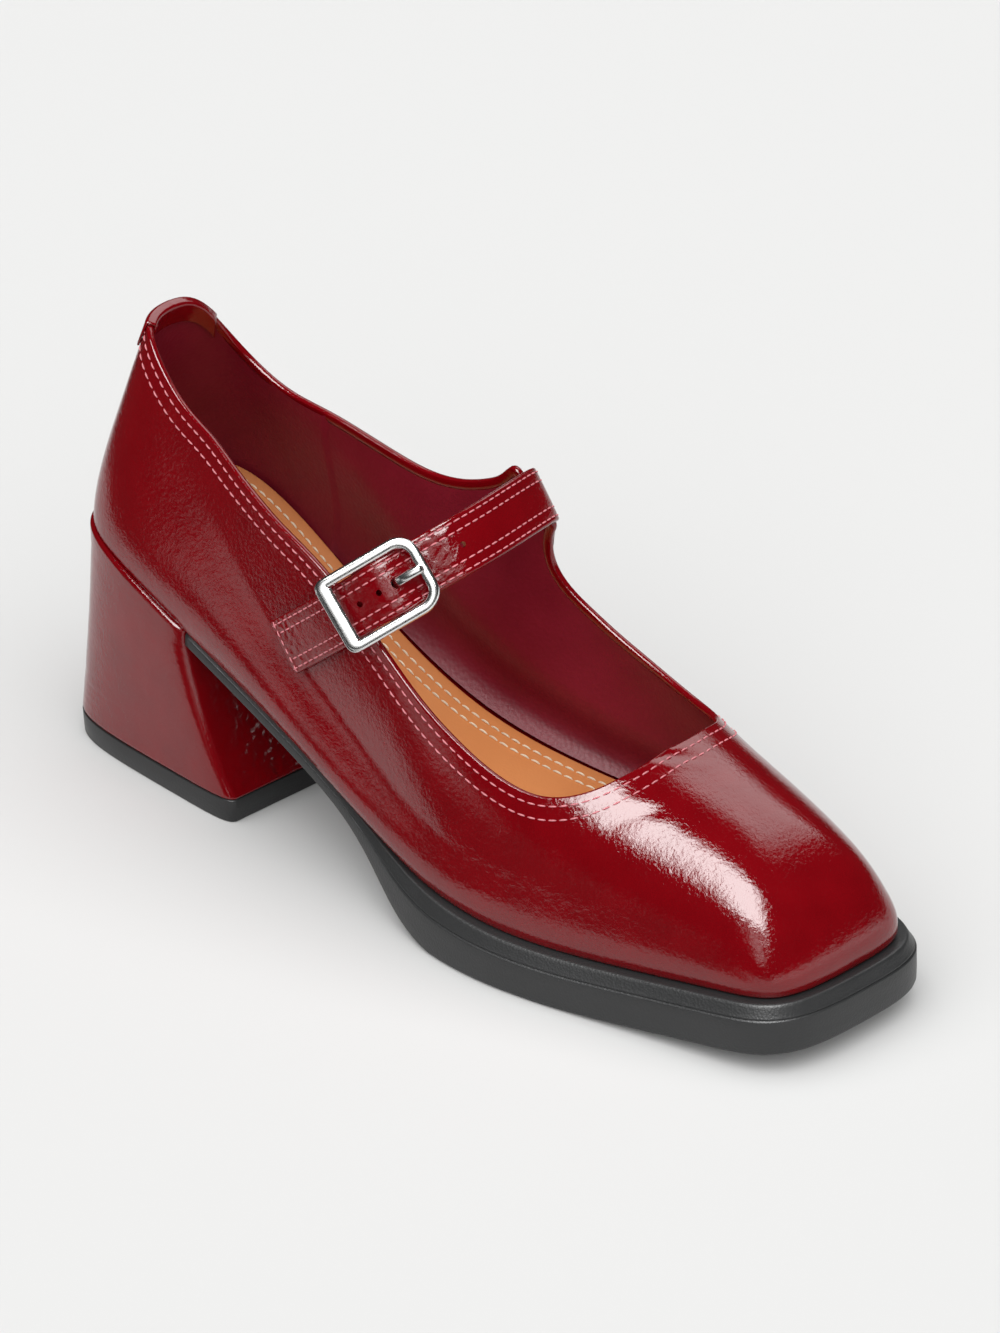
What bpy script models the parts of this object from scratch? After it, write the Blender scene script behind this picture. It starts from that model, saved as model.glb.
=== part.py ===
"""Right shoe of a pair: square-toed mary jane pump with a wrapped block heel.

Metres. +X runs to the toe, +Y to the inner (medial) side, +Z up. The origin is
the middle of the heel's face on the floor. Lengths along the shoe are counted
from the back of the heel until the meshes are made.
"""

import math

import bmesh
import bpy
import numpy as np

# Driving sizes
SHOE_LENGTH = 0.246
BALL_WIDTH = 0.088
SEAT_HEIGHT = 0.066
INSTEP_HEIGHT = 0.105
COUNTER_HEIGHT = 0.055
UPPER_WALL = 0.0018
BULGE_RISE = 0.008
GAP = 0.0003

FOREPART_SOLE = 0.013
TOE_SPRING = 0.0058
FLOOR_FLAT = 0.0002
LEDGE = 0.0052
INSOLE_THICKNESS = 0.0022
INSOLE_CLEARANCE = 0.0006

HEEL_FOOT_LENGTH = 0.069
HEEL_FOOT_WIDTH = 0.0556
HEEL_BACK_RAKE = 0.0055
BREAST_TOP = 0.052
HEEL_TOP_WIDTH = 0.0572
HEEL_ROLL = 0.0008
TOP_LIFT_HEIGHT = 0.0065
TOP_LIFT_INSET = 0.0003

STRAP_WIDTH = 0.0142
STRAP_THICKNESS = 0.0018
STRAP_ARCH = 0.020
STRAP_EDGE = 0.00054
STRAP_DIP = 0.0015
STRAP_HUMP = 0.0013
BUCKLE_LENGTH = 0.0255
BUCKLE_WIDTH = 0.0190
RAIL_THICKNESS = 0.0019
FLAT_BAR_WIDTH = 0.0032
CENTRE_BAR_THICKNESS = 0.0016
BAR_DROP = 0.0044
PRONG_THICKNESS = 0.0015
PRONG_HOLE = 0.0035
PRONG_HOLE_OFFSET = 0.0045
CENTRE_BAR_OFFSET = 0.0015
FRAME_CORNER = 0.0045
FRAME_FLAT_CORNER = 0.0016
FRAME_LIFT = 0.0014
BUCKLE_TAB_WIDTH = 0.0110
BUCKLE_TAB_THICKNESS = 0.0008
BUCKLE_TAB_SAG = 0.0012
PRONG_SLOT_ROOM = 0.0006
PRONG_SLOT_BEHIND = 0.00222
PRONG_SLOT_REACH = 0.00572
BACK_TAB_DEPTH = 0.0060
BACK_TAB_THICKNESS = 0.0006
BACK_TAB_OUTER_GAP = 0.00036
BACK_TAB_TOP_GAP = 0.0006
BACK_TAB_INNER_GAP = 0.0005
BACK_TAB_INNER_DEPTH = 0.0048

# Numbers that set shapes, and how many rows, columns and sides the meshes have
SOLE_COLUMNS = 40
SOLE_CROSSINGS = 8
INSOLE_COLUMNS = 30
INSOLE_CROSSINGS = 6
HEEL_COLUMNS = 26
HEEL_CROSSINGS = 6
HEEL_LEVELS = (0.0, 0.2, 0.4, 0.6, 0.76, 0.88, 0.975, 1.0)
UPPER_LEVELS = 9
VAMP_COLUMNS = 16
OUTER_STEP = 0.5
INNER_STEP = 0.58
RIB_LEAN_POWER = 4
RIM_STEP = 0.1
BACK_TAB_SPAN = 1.55
BACK_TAB_SECTIONS = 13
STRAP_SECTIONS = 55
STRAP_RECOVERY = 2.2
ROD_SIDES = 10
PRONG_SIDES = 8
CORNER_STEPS = 6
LOOP_STEPS = 9

# Roundness of the last's sections, as superellipse powers
WALL_POWER = 2.65
CROWN_POWER = 2.45
LEAN_POWER = 1.3
BULGE_SHARE = 0.15
BULGE_CREST = 6.75
WAIST_STEPS = 0.35

# Feather line, from the back seam round the outer side, the toe and the inner side.
# along and ridge are shares of SHOE_LENGTH, across of BALL_WIDTH, ledge of LEDGE,
# bulge of BULGE_RISE. lean is the share by which the rib draws in at COUNTER_HEIGHT.
LAST = (
    # along, across, ridge, ledge, bulge, lean
    (0.026, 0.000, 0.187, 0.00, 0.12, 0.30),
    (0.028, -0.136, 0.187, 0.00, 0.07, 0.33),
    (0.049, -0.273, 0.187, 0.00, 0.04, 0.40),
    (0.114, -0.313, 0.187, 0.00, 0.10, 0.46),
    (0.203, -0.301, 0.224, 0.00, 0.25, 0.36),
    (0.305, -0.273, 0.305, 0.00, 0.40, 0.09),
    (0.407, -0.261, 0.407, 0.06, 0.48, 0.00),
    (0.492, -0.278, 0.496, 0.38, 0.38, 0.00),
    (0.577, -0.318, 0.581, 0.84, 0.19, 0.00),
    (0.663, -0.307, 0.663, 1.00, 0.10, 0.00),
    (0.748, -0.244, 0.732, 1.00, 0.08, 0.00),
    (0.833, -0.170, 0.780, 1.00, 0.08, 0.00),
    (0.907, -0.114, 0.805, 1.00, 0.08, 0.00),
    (0.961, -0.074, 0.813, 1.00, 0.08, 0.00),
    (0.974, 0.057, 0.813, 1.00, 0.08, 0.00),
    (0.974, 0.193, 0.813, 1.00, 0.08, 0.00),
    (0.974, 0.330, 0.813, 1.00, 0.08, 0.00),
    (0.961, 0.438, 0.813, 1.00, 0.08, 0.00),
    (0.907, 0.486, 0.805, 1.00, 0.08, -0.10),
    (0.833, 0.515, 0.780, 1.00, 0.15, -0.13),
    (0.755, 0.532, 0.732, 1.00, 0.20, -0.13),
    (0.674, 0.532, 0.663, 1.00, 0.28, -0.15),
    (0.593, 0.486, 0.581, 0.84, 0.38, -0.24),
    (0.504, 0.398, 0.496, 0.42, 0.48, -0.36),
    (0.411, 0.313, 0.407, 0.08, 0.56, -0.36),
    (0.305, 0.295, 0.305, 0.00, 0.48, -0.17),
    (0.203, 0.307, 0.224, 0.00, 0.25, 0.20),
    (0.114, 0.313, 0.187, 0.00, 0.10, 0.46),
    (0.049, 0.273, 0.187, 0.00, 0.04, 0.40),
    (0.028, 0.136, 0.187, 0.00, 0.07, 0.33),
)
STATIONS = len(LAST)
TOE_STATION = STATIONS // 2
RIDGE_ANGLE = 90.0

# Profile along the shoe: rise is a share of the heel's lift, spring of TOE_SPRING,
# sole of FOREPART_SOLE, crown of INSTEP_HEIGHT, centre of BALL_WIDTH.
PROFILE = (
    # along, rise, spring, sole, crown, centre
    (0.000, 1.000, 0.00, 0.33, 1.752, 0.017),
    (0.081, 0.934, 0.00, 0.33, 1.786, 0.022),
    (0.163, 0.783, 0.00, 0.33, 1.862, 0.027),
    (0.224, 0.651, 0.00, 0.33, 1.929, 0.035),
    (0.325, 0.425, 0.00, 0.33, 1.281, 0.055),
    (0.407, 0.264, 0.00, 0.33, 1.000, 0.068),
    (0.447, 0.194, 0.00, 0.36, 0.900, 0.076),
    (0.488, 0.132, 0.00, 0.58, 0.800, 0.083),
    (0.528, 0.087, 0.00, 0.97, 0.705, 0.090),
    (0.569, 0.047, 0.00, 1.14, 0.614, 0.097),
    (0.650, 0.006, 0.00, 1.20, 0.489, 0.118),
    (0.724, 0.000, 0.00, 1.20, 0.415, 0.142),
    (0.772, 0.000, 0.08, 1.20, 0.370, 0.157),
    (0.837, 0.000, 0.28, 1.20, 0.317, 0.174),
    (0.915, 0.000, 0.61, 1.20, 0.250, 0.184),
    (1.000, 0.000, 1.00, 1.20, 0.185, 0.193),
)

# Topline from the throat to the back seam: the station on the feather line where the
# rib starts, the station where it ends, and the angle round the section where it ends.
OUTER_TOPLINE = (
    # foot, station, angle
    (10.20, 10.24, 90.0),
    (10.05, 10.17, 79.0),
    (9.90, 10.05, 70.0),
    (9.74, 9.93, 62.0),
    (9.57, 9.77, 54.8),
    (9.40, 9.58, 48.8),
    (9.22, 9.38, 44.6),
    (9.05, 9.17, 42.0),
    (8.85, 8.92, 40.2),
    (8.55, 8.58, 38.6),
    (8.18, 8.18, 37.0),
    (7.78, 7.78, 35.0),
    (7.36, 7.36, 32.4),
    (6.92, 6.92, 30.4),
    (6.48, 6.48, 28.4),
    (6.05, 6.05, 26.0),
    (5.65, 5.65, 22.4),
    (5.25, 5.25, 18.2),
    (4.82, 4.82, 14.4),
    (4.34, 4.34, 11.5),
    (3.70, 3.70, 10.2),
    (2.90, 2.90, 10.9),
    (2.10, 2.10, 12.1),
    (1.55, 1.55, 12.4),
    (1.00, 1.00, 12.5),
    (0.50, 0.50, 12.5),
    (0.00, 0.00, 12.5),
)
INNER_TOPLINE = (
    # foot, station, angle
    (10.20, 10.24, 90.0),
    (10.02, 10.12, 83.0),
    (9.83, 9.96, 74.0),
    (9.64, 9.80, 64.0),
    (9.45, 9.62, 56.0),
    (9.26, 9.42, 49.8),
    (9.04, 9.16, 44.8),
    (8.76, 8.82, 40.6),
    (8.40, 8.42, 37.2),
    (8.00, 8.00, 34.6),
    (7.58, 7.58, 32.0),
    (7.22, 7.22, 30.0),
    (6.98, 6.96, 29.0),
    (6.82, 6.78, 29.8),
    (6.74, 6.70, 32.6),
    (6.69, 6.73, 37.6),
    (6.64, 6.82, 42.4),
    (6.58, 6.78, 43.4),
    (6.50, 6.60, 42.8),
    (6.42, 6.42, 43.3),
    (6.34, 6.32, 43.1),
    (6.24, 6.23, 39.6),
    (6.10, 6.10, 33.8),
    (5.92, 5.92, 28.8),
    (5.70, 5.70, 23.8),
    (5.42, 5.42, 19.0),
    (5.08, 5.08, 14.9),
    (4.70, 4.70, 11.7),
    (4.25, 4.25, 9.3),
    (3.70, 3.70, 8.0),
    (3.05, 3.05, 7.6),
    (2.35, 2.35, 8.3),
    (1.80, 1.80, 9.7),
    (1.35, 1.35, 11.1),
    (0.90, 0.90, 12.0),
    (0.45, 0.45, 12.4),
    (0.00, 0.00, 12.5),
)

# Side of the sole, floor edge first: inset from its outline, and height as a share
# of its own thickness.
SOLE_SIDE = (
    # inset, share
    (0.0010, 0.00),
    (0.0000, 0.08),
    (0.0002, 0.74),
    (0.0007, 0.76),
    (0.0011, 0.95),
    (0.0016, 1.00),
)

# Half outline of the heel, back seam to the edge of the breast: foot columns are
# shares of the foot's length and half width, top columns of the seat's.
HEEL = (
    # foot_along, foot_across, top_along, top_across
    (0.000, 0.00, 0.000, 0.000),
    (0.000, 0.50, 0.013, 0.430),
    (0.090, 0.90, 0.125, 0.863),
    (0.300, 1.00, 0.484, 0.997),
    (0.680, 1.00, 0.800, 0.980),
    (0.985, 1.00, 0.985, 0.965),
    (1.000, 0.90, 1.000, 0.870),
)
HEEL_NECK = 0.88
HEEL_FLARE = 0.35

# Strap's middle line, buckled end first: across is a share of the way between the
# strap's two seats on the topline, forward and up are shares of STRAP_ARCH.
STRAP = (
    # across, forward, up
    (-0.065, -0.802, -0.935),
    (-0.064, -0.616, -0.782),
    (-0.063, -0.404, -0.607),
    (-0.064, -0.172, -0.418),
    (-0.070, 0.032, -0.246),
    (-0.084, 0.264, -0.041),
    (-0.042, 0.364, 0.051),
    (0.052, 0.530, 0.209),
    (0.151, 0.651, 0.339),
    (0.250, 0.762, 0.460),
    (0.369, 0.815, 0.525),
    (0.493, 0.761, 0.509),
    (0.608, 0.666, 0.465),
    (0.728, 0.530, 0.395),
    (0.838, 0.390, 0.310),
    (0.922, 0.270, 0.235),
    (0.966, 0.190, 0.165),
    (0.979, 0.117, 0.097),
    (0.983, 0.036, 0.027),
)
OUTER_SEAT = (6.25, 27.2)
INNER_SEAT = (6.60, 43.2)
STRAP_TILT = (0.63, 0.0, -0.78)
BUCKLE_ROW = 7.0
BUCKLE_TAB_STATION = 6.40

# Half of the centre bar, from the rail down: shares of the half width and BAR_DROP.
CENTRE_BAR = (
    # across, drop
    (1.00, 0.00),
    (0.98, 0.45),
    (0.92, 0.86),
    (0.81, 1.00),
)

# Prong from its loop to its tip: run is a share of PRONG_HOLE_OFFSET from the middle
# of its hole, rise of the height at which the tip rests on the frame.
PRONG = (
    # run, rise
    (-0.16, -0.10),
    (-0.02, 0.28),
    (0.10, 0.66),
    (0.42, 0.93),
    (0.95, 1.00),
    (1.35, 1.01),
    (1.64, 1.00),
)

# Turn in degrees round the centre bar where each loop starts, and how far it goes
PRONG_LOOP = (120, 280)
BUCKLE_TAB_LOOP = (150, -250)
# Places of the buckle tab's tail, as shares of the way from its loop to the quarter
BUCKLE_TAB_TAIL = (0.35, 0.70, 1.0)


def spline_weights(fraction):
    """Uniform cubic B-spline weights of the four rows round a place."""
    f = fraction
    return (
        (1 - f) ** 3 / 6,
        (3 * f**3 - 6 * f**2 + 4) / 6,
        (-3 * f**3 + 3 * f**2 + 3 * f + 1) / 6,
        f**3 / 6,
    )


def spline_open(rows, place, before=None, after=None):
    """Smooth curve through a table's rows; place counts rows from 0."""
    rows = np.asarray(rows, float)
    first = 2 * rows[0] - rows[1] if before is None else np.asarray(before, float)
    last = 2 * rows[-1] - rows[-2] if after is None else np.asarray(after, float)
    padded = np.vstack([first, rows, last])
    place = np.clip(np.asarray(place, float), 0, len(rows) - 1)
    index = np.minimum(np.floor(place).astype(int), len(rows) - 2)
    weights = spline_weights(place - index)
    return sum(w[..., None] * padded[index + k] for k, w in enumerate(weights))


def spline_closed(rows, place):
    """The same round a closed table."""
    rows = np.asarray(rows, float)
    place = np.asarray(place, float)
    index = np.floor(place).astype(int)
    weights = spline_weights(place - index)
    return sum(w[..., None] * rows[(index + k - 1) % len(rows)] for k, w in enumerate(weights))


PROFILE_CURVE = spline_open(PROFILE, np.linspace(0, len(PROFILE) - 1, 3001))


def profile(along, column):
    """A column of PROFILE at lengths along the shoe in metres."""
    shares = np.asarray(along, float) / SHOE_LENGTH
    return np.interp(shares, PROFILE_CURVE[:, 0], PROFILE_CURVE[:, column])


def bottom_height(along):
    """Height of the lasted bottom."""
    lift = (SEAT_HEIGHT - FOREPART_SOLE) * profile(along, 1)
    return FOREPART_SOLE + lift + TOE_SPRING * profile(along, 2)


def under_height(along):
    """Height of the sole's underside, flat on the floor under the ball."""
    arch = bottom_height(along) - FOREPART_SOLE * profile(along, 3)
    spring = TOE_SPRING * profile(along, 2) - FLOOR_FLAT
    return np.maximum(np.maximum(arch, spring), 0.0)


def feather(station):
    """Plan place of the feather line."""
    rows = spline_closed(LAST, station)
    return np.stack([rows[..., 0] * SHOE_LENGTH, rows[..., 1] * BALL_WIDTH], -1)


def outward(station):
    """Plan direction away from the shoe at the feather line."""
    step = 1e-3
    run = feather(station + step) - feather(station - step)
    run = run / np.linalg.norm(run, axis=-1, keepdims=True)
    return np.stack([run[..., 1], -run[..., 0]], -1)


def ledge(station):
    return LEDGE * spline_closed(LAST, station)[..., 3]


def last_point(station, angle):
    """Point of the last's surface; angle runs from 0 at the feather to 90 on the ridge."""
    station = np.asarray(station, float)
    turn = np.radians(np.clip(angle, 0, 90))
    rows = spline_closed(LAST, station)
    foot = feather(station)
    ridge_x = rows[..., 2] * SHOE_LENGTH
    ridge = np.stack([ridge_x, profile(ridge_x, 5) * BALL_WIDTH], -1)
    reach = np.clip(np.cos(turn), 0, 1) ** (2 / WALL_POWER)
    rise = np.sin(turn) ** (2 / CROWN_POWER)
    plan_x = ridge_x + (foot[..., 0] - ridge_x) * reach
    seat = bottom_height(foot[..., 0])
    crown = bottom_height(plan_x) + INSTEP_HEIGHT * profile(plan_x, 4)
    height = (crown - seat) * rise
    reach = reach * (1 - rows[..., 5] * (height / COUNTER_HEIGHT) ** LEAN_POWER)
    plan = ridge + (foot - ridge) * reach[..., None]
    part = np.clip(height / (BULGE_RISE + BULGE_SHARE * (crown - seat)), 0, 1)
    swell = BULGE_RISE * rows[..., 4] * BULGE_CREST * part * (1 - part) ** 2
    plan = plan + outward(station) * swell[..., None]
    return np.concatenate([plan, (seat + height)[..., None]], -1)


def last_normal(station, angle):
    """Outward normal of the last's surface."""
    step = 1e-3
    across = last_point(station + step, angle) - last_point(station - step, angle)
    up = last_point(station, angle + 10 * step) - last_point(station, angle - 10 * step)
    normal = np.cross(across, up)
    return normal / np.linalg.norm(normal, axis=-1, keepdims=True)


def unit(vector):
    return np.asarray(vector, float) / np.linalg.norm(vector)


def material(name, colour, roughness, metallic=0.0, coat=0.0):
    made = bpy.data.materials.new(name)
    made.use_nodes = True
    shader = made.node_tree.nodes["Principled BSDF"]
    shader.inputs["Base Color"].default_value = (*colour, 1.0)
    shader.inputs["Roughness"].default_value = roughness
    shader.inputs["Metallic"].default_value = metallic
    shader.inputs["Coat Weight"].default_value = coat
    return made


def make_object(name, points, faces, finish):
    """Object from points counted from the heel's back, with doubles merged."""
    shift = np.array([HEEL_FOOT_LENGTH / 2, 0.0, 0.0])
    mesh = bpy.data.meshes.new(name)
    made = bmesh.new()
    verts = [made.verts.new(point - shift) for point in np.asarray(points)]
    for face in faces:
        if len(set(face)) > 2:
            made.faces.new([verts[k] for k in face])
    bmesh.ops.remove_doubles(made, verts=made.verts, dist=2e-6)
    bmesh.ops.dissolve_degenerate(made, edges=made.edges, dist=1e-7)
    bmesh.ops.recalc_face_normals(made, faces=made.faces)
    made.to_mesh(mesh)
    made.free()
    mesh.shade_smooth()
    mesh.set_sharp_from_angle(angle=math.radians(35))
    mesh.materials.append(finish)
    piece = bpy.data.objects.new(name, mesh)
    bpy.context.scene.collection.objects.link(piece)
    return piece


def loft(sections, closed=False, caps=(True, True)):
    """Points and faces of a skin over sections, each a closed loop of points."""
    count = len(sections[0])
    points = np.concatenate(sections)
    faces = []
    rings = len(sections)
    for i in range(rings if closed else rings - 1):
        here = i * count
        there = (i + 1) % rings * count
        for j in range(count):
            k = (j + 1) % count
            faces.append((here + j, here + k, there + k, there + j))
    if caps[0] and not closed:
        faces.append(tuple(range(count)))
    if caps[1] and not closed:
        faces.append(tuple(range((rings - 1) * count, rings * count)))
    return points, faces


def crossed_loop(outer_edge, inner_edge, top_height, under_height_at, crossings):
    """Closed section: up the outer edge, across the top, down the inner edge, back."""
    shares = np.linspace(0, 1, crossings + 1)[1:-1, None]
    over = outer_edge[-1] + (inner_edge[-1] - outer_edge[-1]) * shares
    over[:, 2] = top_height(over[:, 0])
    under = inner_edge[0] + (outer_edge[0] - inner_edge[0]) * shares
    under[:, 2] = under_height_at(under[:, 0])
    return np.concatenate([outer_edge, over, inner_edge[::-1], under])


def strip_cap(base, side, crossings):
    """Faces that close a crossed loop level by level."""
    over = crossings - 1
    faces = []
    for j in range(side - 1):
        inner = base + 2 * side + over - 1 - j
        face = [base + j, base + j + 1]
        if j == side - 2:
            face += range(base + side, base + side + over)
        face += [inner - 1, inner]
        if j == 0:
            face += range(base + 2 * side + over, base + 2 * (side + over))
        faces.append(tuple(face))
    return faces


def sole_edge(station, inset, share):
    """Point of the sole's side: share is 0 on the underside and 1 on the ledge."""
    plan = feather(station) + outward(station) * (ledge(station) - inset)[..., None]
    low = under_height(plan[..., 0])
    high = bottom_height(plan[..., 0]) - GAP
    height = low + (high - low) * share
    return np.concatenate([plan, height[..., None]], -1)


def station_at(along, side):
    """Station of one side where the feather line passes a length along the shoe."""
    low, high = 3.0, 7.0
    for _ in range(50):
        middle = (low + high) / 2
        place = middle if side < 0 else STATIONS - middle
        if feather(np.array(place))[0] < along:
            low = middle
        else:
            high = middle
    return (low + high) / 2


def make_outsole(finish):
    rear = BREAST_TOP + GAP
    starts = [station_at(rear, side) for side in (-1, 1)]
    sections = []
    for i in range(SOLE_COLUMNS + 1):
        share = i / SOLE_COLUMNS
        edges = []
        for start, side in zip(starts, (-1, 1)):
            station = start + (TOE_STATION - start) * share
            place = np.array(station if side < 0 else STATIONS - station)
            full = ledge(place) / LEDGE
            narrow = WAIST_STEPS + (1 - WAIST_STEPS) * full
            edge = np.array([sole_edge(place, inset * narrow, rise) for inset, rise in SOLE_SIDE])
            if i == 0:
                edge[:, 0] = rear
            edges.append(edge)
        sections.append(
            crossed_loop(
                edges[0], edges[1], lambda x: bottom_height(x) - GAP, under_height, SOLE_CROSSINGS
            )
        )
    points, faces = loft(sections, caps=(False, False))
    faces += strip_cap(0, len(SOLE_SIDE), SOLE_CROSSINGS)
    return make_object("outsole", points, faces, finish)


def make_insole(finish):
    inset = UPPER_WALL + INSOLE_CLEARANCE
    sections = []
    for i in range(INSOLE_COLUMNS + 1):
        station = TOE_STATION * i / INSOLE_COLUMNS
        edges = []
        for place in (station, STATIONS - station):
            plan = feather(np.array(place)) - outward(np.array(place)) * inset
            low = bottom_height(plan[0])
            top = plan - outward(np.array(place)) * INSOLE_CLEARANCE
            edges.append(np.array([[*plan, low], [*top, low + INSOLE_THICKNESS]]))
        sections.append(
            crossed_loop(
                edges[0],
                edges[1],
                lambda x: bottom_height(x) + INSOLE_THICKNESS,
                bottom_height,
                INSOLE_CROSSINGS,
            )
        )
    points, faces = loft(sections, caps=(False, False))
    return make_object("insole", points, faces, finish)


def heel_outline(place, level, side):
    """Plan place of the heel's side at a level from 0 at the lift to 1 at the seat."""
    ghost = (HEEL[1][0], -HEEL[1][1], HEEL[1][2], -HEEL[1][3])
    row = spline_open(HEEL, np.array(place), before=ghost)
    foot = np.array([row[0] * HEEL_FOOT_LENGTH, row[1] * HEEL_FOOT_WIDTH / 2])
    seat_length = BREAST_TOP - HEEL_BACK_RAKE
    top = np.array([HEEL_BACK_RAKE + row[2] * seat_length, row[3] * HEEL_TOP_WIDTH / 2])
    share = min(level / HEEL_NECK, 1.0)
    share = share * (1 + HEEL_FLARE * (1 - share))
    plan = foot + (top - foot) * share
    return np.array([plan[0], side * plan[1]])


def heel_sections(low, high_of, levels, inset_at):
    """Closed loops from the heel's back to its breast."""
    sections = []
    for i in range(HEEL_COLUMNS + 1):
        place = (len(HEEL) - 1) * i / HEEL_COLUMNS
        edges = []
        for side in (-1, 1):
            edge = []
            for level in levels:
                plan = heel_outline(place, level, side)
                centre = np.array([HEEL_FOOT_LENGTH / 2, 0.0])
                inward = centre - plan
                plan = plan + inward / np.linalg.norm(inward) * inset_at(level)
                edge.append([*plan, low + (high_of(plan[0]) - low) * level])
            edges.append(np.array(edge))
        sections.append(
            crossed_loop(edges[0], edges[1], high_of, lambda x: np.full_like(x, low), HEEL_CROSSINGS)
        )
    return sections


def make_heel(finish):
    low = TOP_LIFT_HEIGHT + GAP
    sections = heel_sections(
        low,
        lambda x: bottom_height(x) - GAP,
        HEEL_LEVELS,
        lambda level: HEEL_ROLL if level == 1.0 else 0.0,
    )
    points, faces = loft(sections, caps=(False, False))
    base = HEEL_COLUMNS * len(sections[0])
    faces += strip_cap(base, len(HEEL_LEVELS), HEEL_CROSSINGS)
    return make_object("heel_block", points, faces, finish)


def make_top_lift(finish):
    sections = []
    for i in range(HEEL_COLUMNS + 1):
        place = (len(HEEL) - 1) * i / HEEL_COLUMNS
        edges = []
        for side in (-1, 1):
            plan = heel_outline(place, 0.0, side)
            inward = np.array([HEEL_FOOT_LENGTH / 2, 0.0]) - plan
            low_plan = plan + inward / np.linalg.norm(inward) * TOP_LIFT_INSET
            edges.append(np.array([[*low_plan, 0.0], [*plan, TOP_LIFT_HEIGHT]]))
        sections.append(
            crossed_loop(
                edges[0],
                edges[1],
                lambda x: np.full_like(x, TOP_LIFT_HEIGHT),
                lambda x: np.zeros_like(x),
                HEEL_CROSSINGS,
            )
        )
    points, faces = loft(sections, caps=(False, False))
    faces += strip_cap(HEEL_COLUMNS * len(sections[0]), 2, HEEL_CROSSINGS)
    return make_object("top_lift", points, faces, finish)


def topline_rows(table, step):
    """Ribs of one side, from the throat to the back seam."""
    ghost_front = (2 * table[0][0] - table[1][0], 2 * table[0][1] - table[1][1], 180 - table[1][2])
    ghost_back = (-table[-2][0], -table[-2][1], table[-2][2])
    count = round((len(table) - 1) / step)
    places = np.linspace(0, len(table) - 1, count + 1)
    return spline_open(table, places, before=ghost_front, after=ghost_back)


def upper_ribs():
    """All ribs in order round the shoe: foot, top station, top angle and side."""
    outer = topline_rows(OUTER_TOPLINE, OUTER_STEP)
    inner = topline_rows(INNER_TOPLINE, INNER_STEP)
    throat_foot = (outer[0][0] + inner[0][0]) / 2
    throat_top = (outer[0][1] + inner[0][1]) / 2
    ribs = []
    for row in outer[::-1][:-1]:
        ribs.append((row[0], row[1], row[2], -1))
    for i in range(VAMP_COLUMNS + 1):
        share = i / VAMP_COLUMNS
        foot = throat_foot + (TOE_STATION - throat_foot) * share
        top = throat_top + (TOE_STATION - throat_top) * share
        ribs.append((foot, top, RIDGE_ANGLE, -1))
    for i in range(VAMP_COLUMNS - 1, -1, -1):
        share = i / VAMP_COLUMNS
        foot = throat_foot + (TOE_STATION - throat_foot) * share
        top = throat_top + (TOE_STATION - throat_top) * share
        ribs.append((foot, top, RIDGE_ANGLE, 1))
    for row in inner[1:-1]:
        ribs.append((row[0], row[1], row[2], 1))
    return ribs


def upper_sheet():
    """Outer face of the upper as a grid of points, ribs by levels."""
    sheet = []
    shares = np.linspace(0, 1, UPPER_LEVELS + 1)
    for foot, top, angle, side in upper_ribs():
        stations = foot + (top - foot) * shares**RIB_LEAN_POWER
        if side > 0:
            stations = STATIONS - stations
        sheet.append(last_point(stations, angle * shares))
    return np.array(sheet)


def sheet_normals(sheet):
    """Outward normals of the grid, the same where ribs meet on the ridge."""
    ribs, levels, _ = sheet.shape
    keys = np.round(sheet.reshape(-1, 3), 6)
    _, group = np.unique(keys, axis=0, return_inverse=True)
    group = group.reshape(ribs, levels)
    total = np.zeros((group.max() + 1, 3))
    for i in range(ribs):
        k = (i + 1) % ribs
        for j in range(levels - 1):
            corners = (sheet[i, j], sheet[k, j], sheet[k, j + 1], sheet[i, j + 1])
            area = np.cross(corners[2] - corners[0], corners[3] - corners[1])
            for a, b in ((i, j), (k, j), (k, j + 1), (i, j + 1)):
                total[group[a, b]] += area
    normals = total[group]
    return normals / np.linalg.norm(normals, axis=-1, keepdims=True)


def make_upper(finish):
    sheet = upper_sheet()
    normals = sheet_normals(sheet)
    flat = normals[:, 0].copy()
    flat[:, 2] = 0
    normals[:, 0] = flat / np.linalg.norm(flat, axis=-1, keepdims=True)
    lining = sheet - normals * UPPER_WALL
    lining[:, 0, 2] = bottom_height(lining[:, 0, 0])
    ribs, levels, _ = sheet.shape
    points = np.concatenate([sheet.reshape(-1, 3), lining.reshape(-1, 3)])
    inside = ribs * levels
    angles = [rib[2] for rib in upper_ribs()]
    faces = []
    for i in range(ribs):
        k = (i + 1) % ribs
        for j in range(levels - 1):
            a, b = i * levels + j, k * levels + j
            faces.append((a, b, b + 1, a + 1))
            faces.append((inside + a, inside + a + 1, inside + b + 1, inside + b))
        a, b = i * levels, k * levels
        faces.append((a, inside + a, inside + b, b))
        if min(angles[i], angles[k]) < RIDGE_ANGLE - 1e-3:
            a, b = a + levels - 1, b + levels - 1
            faces.append((a, b, inside + b, inside + a))
    return make_object("upper", points, faces, finish)


def rim_angle(station, side):
    """Angle of the topline at a station of the quarters."""
    table = OUTER_TOPLINE if side < 0 else INNER_TOPLINE
    rows = topline_rows(table, RIM_STEP)[::-1]
    return np.interp(station, rows[:, 1], rows[:, 2])


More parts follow.
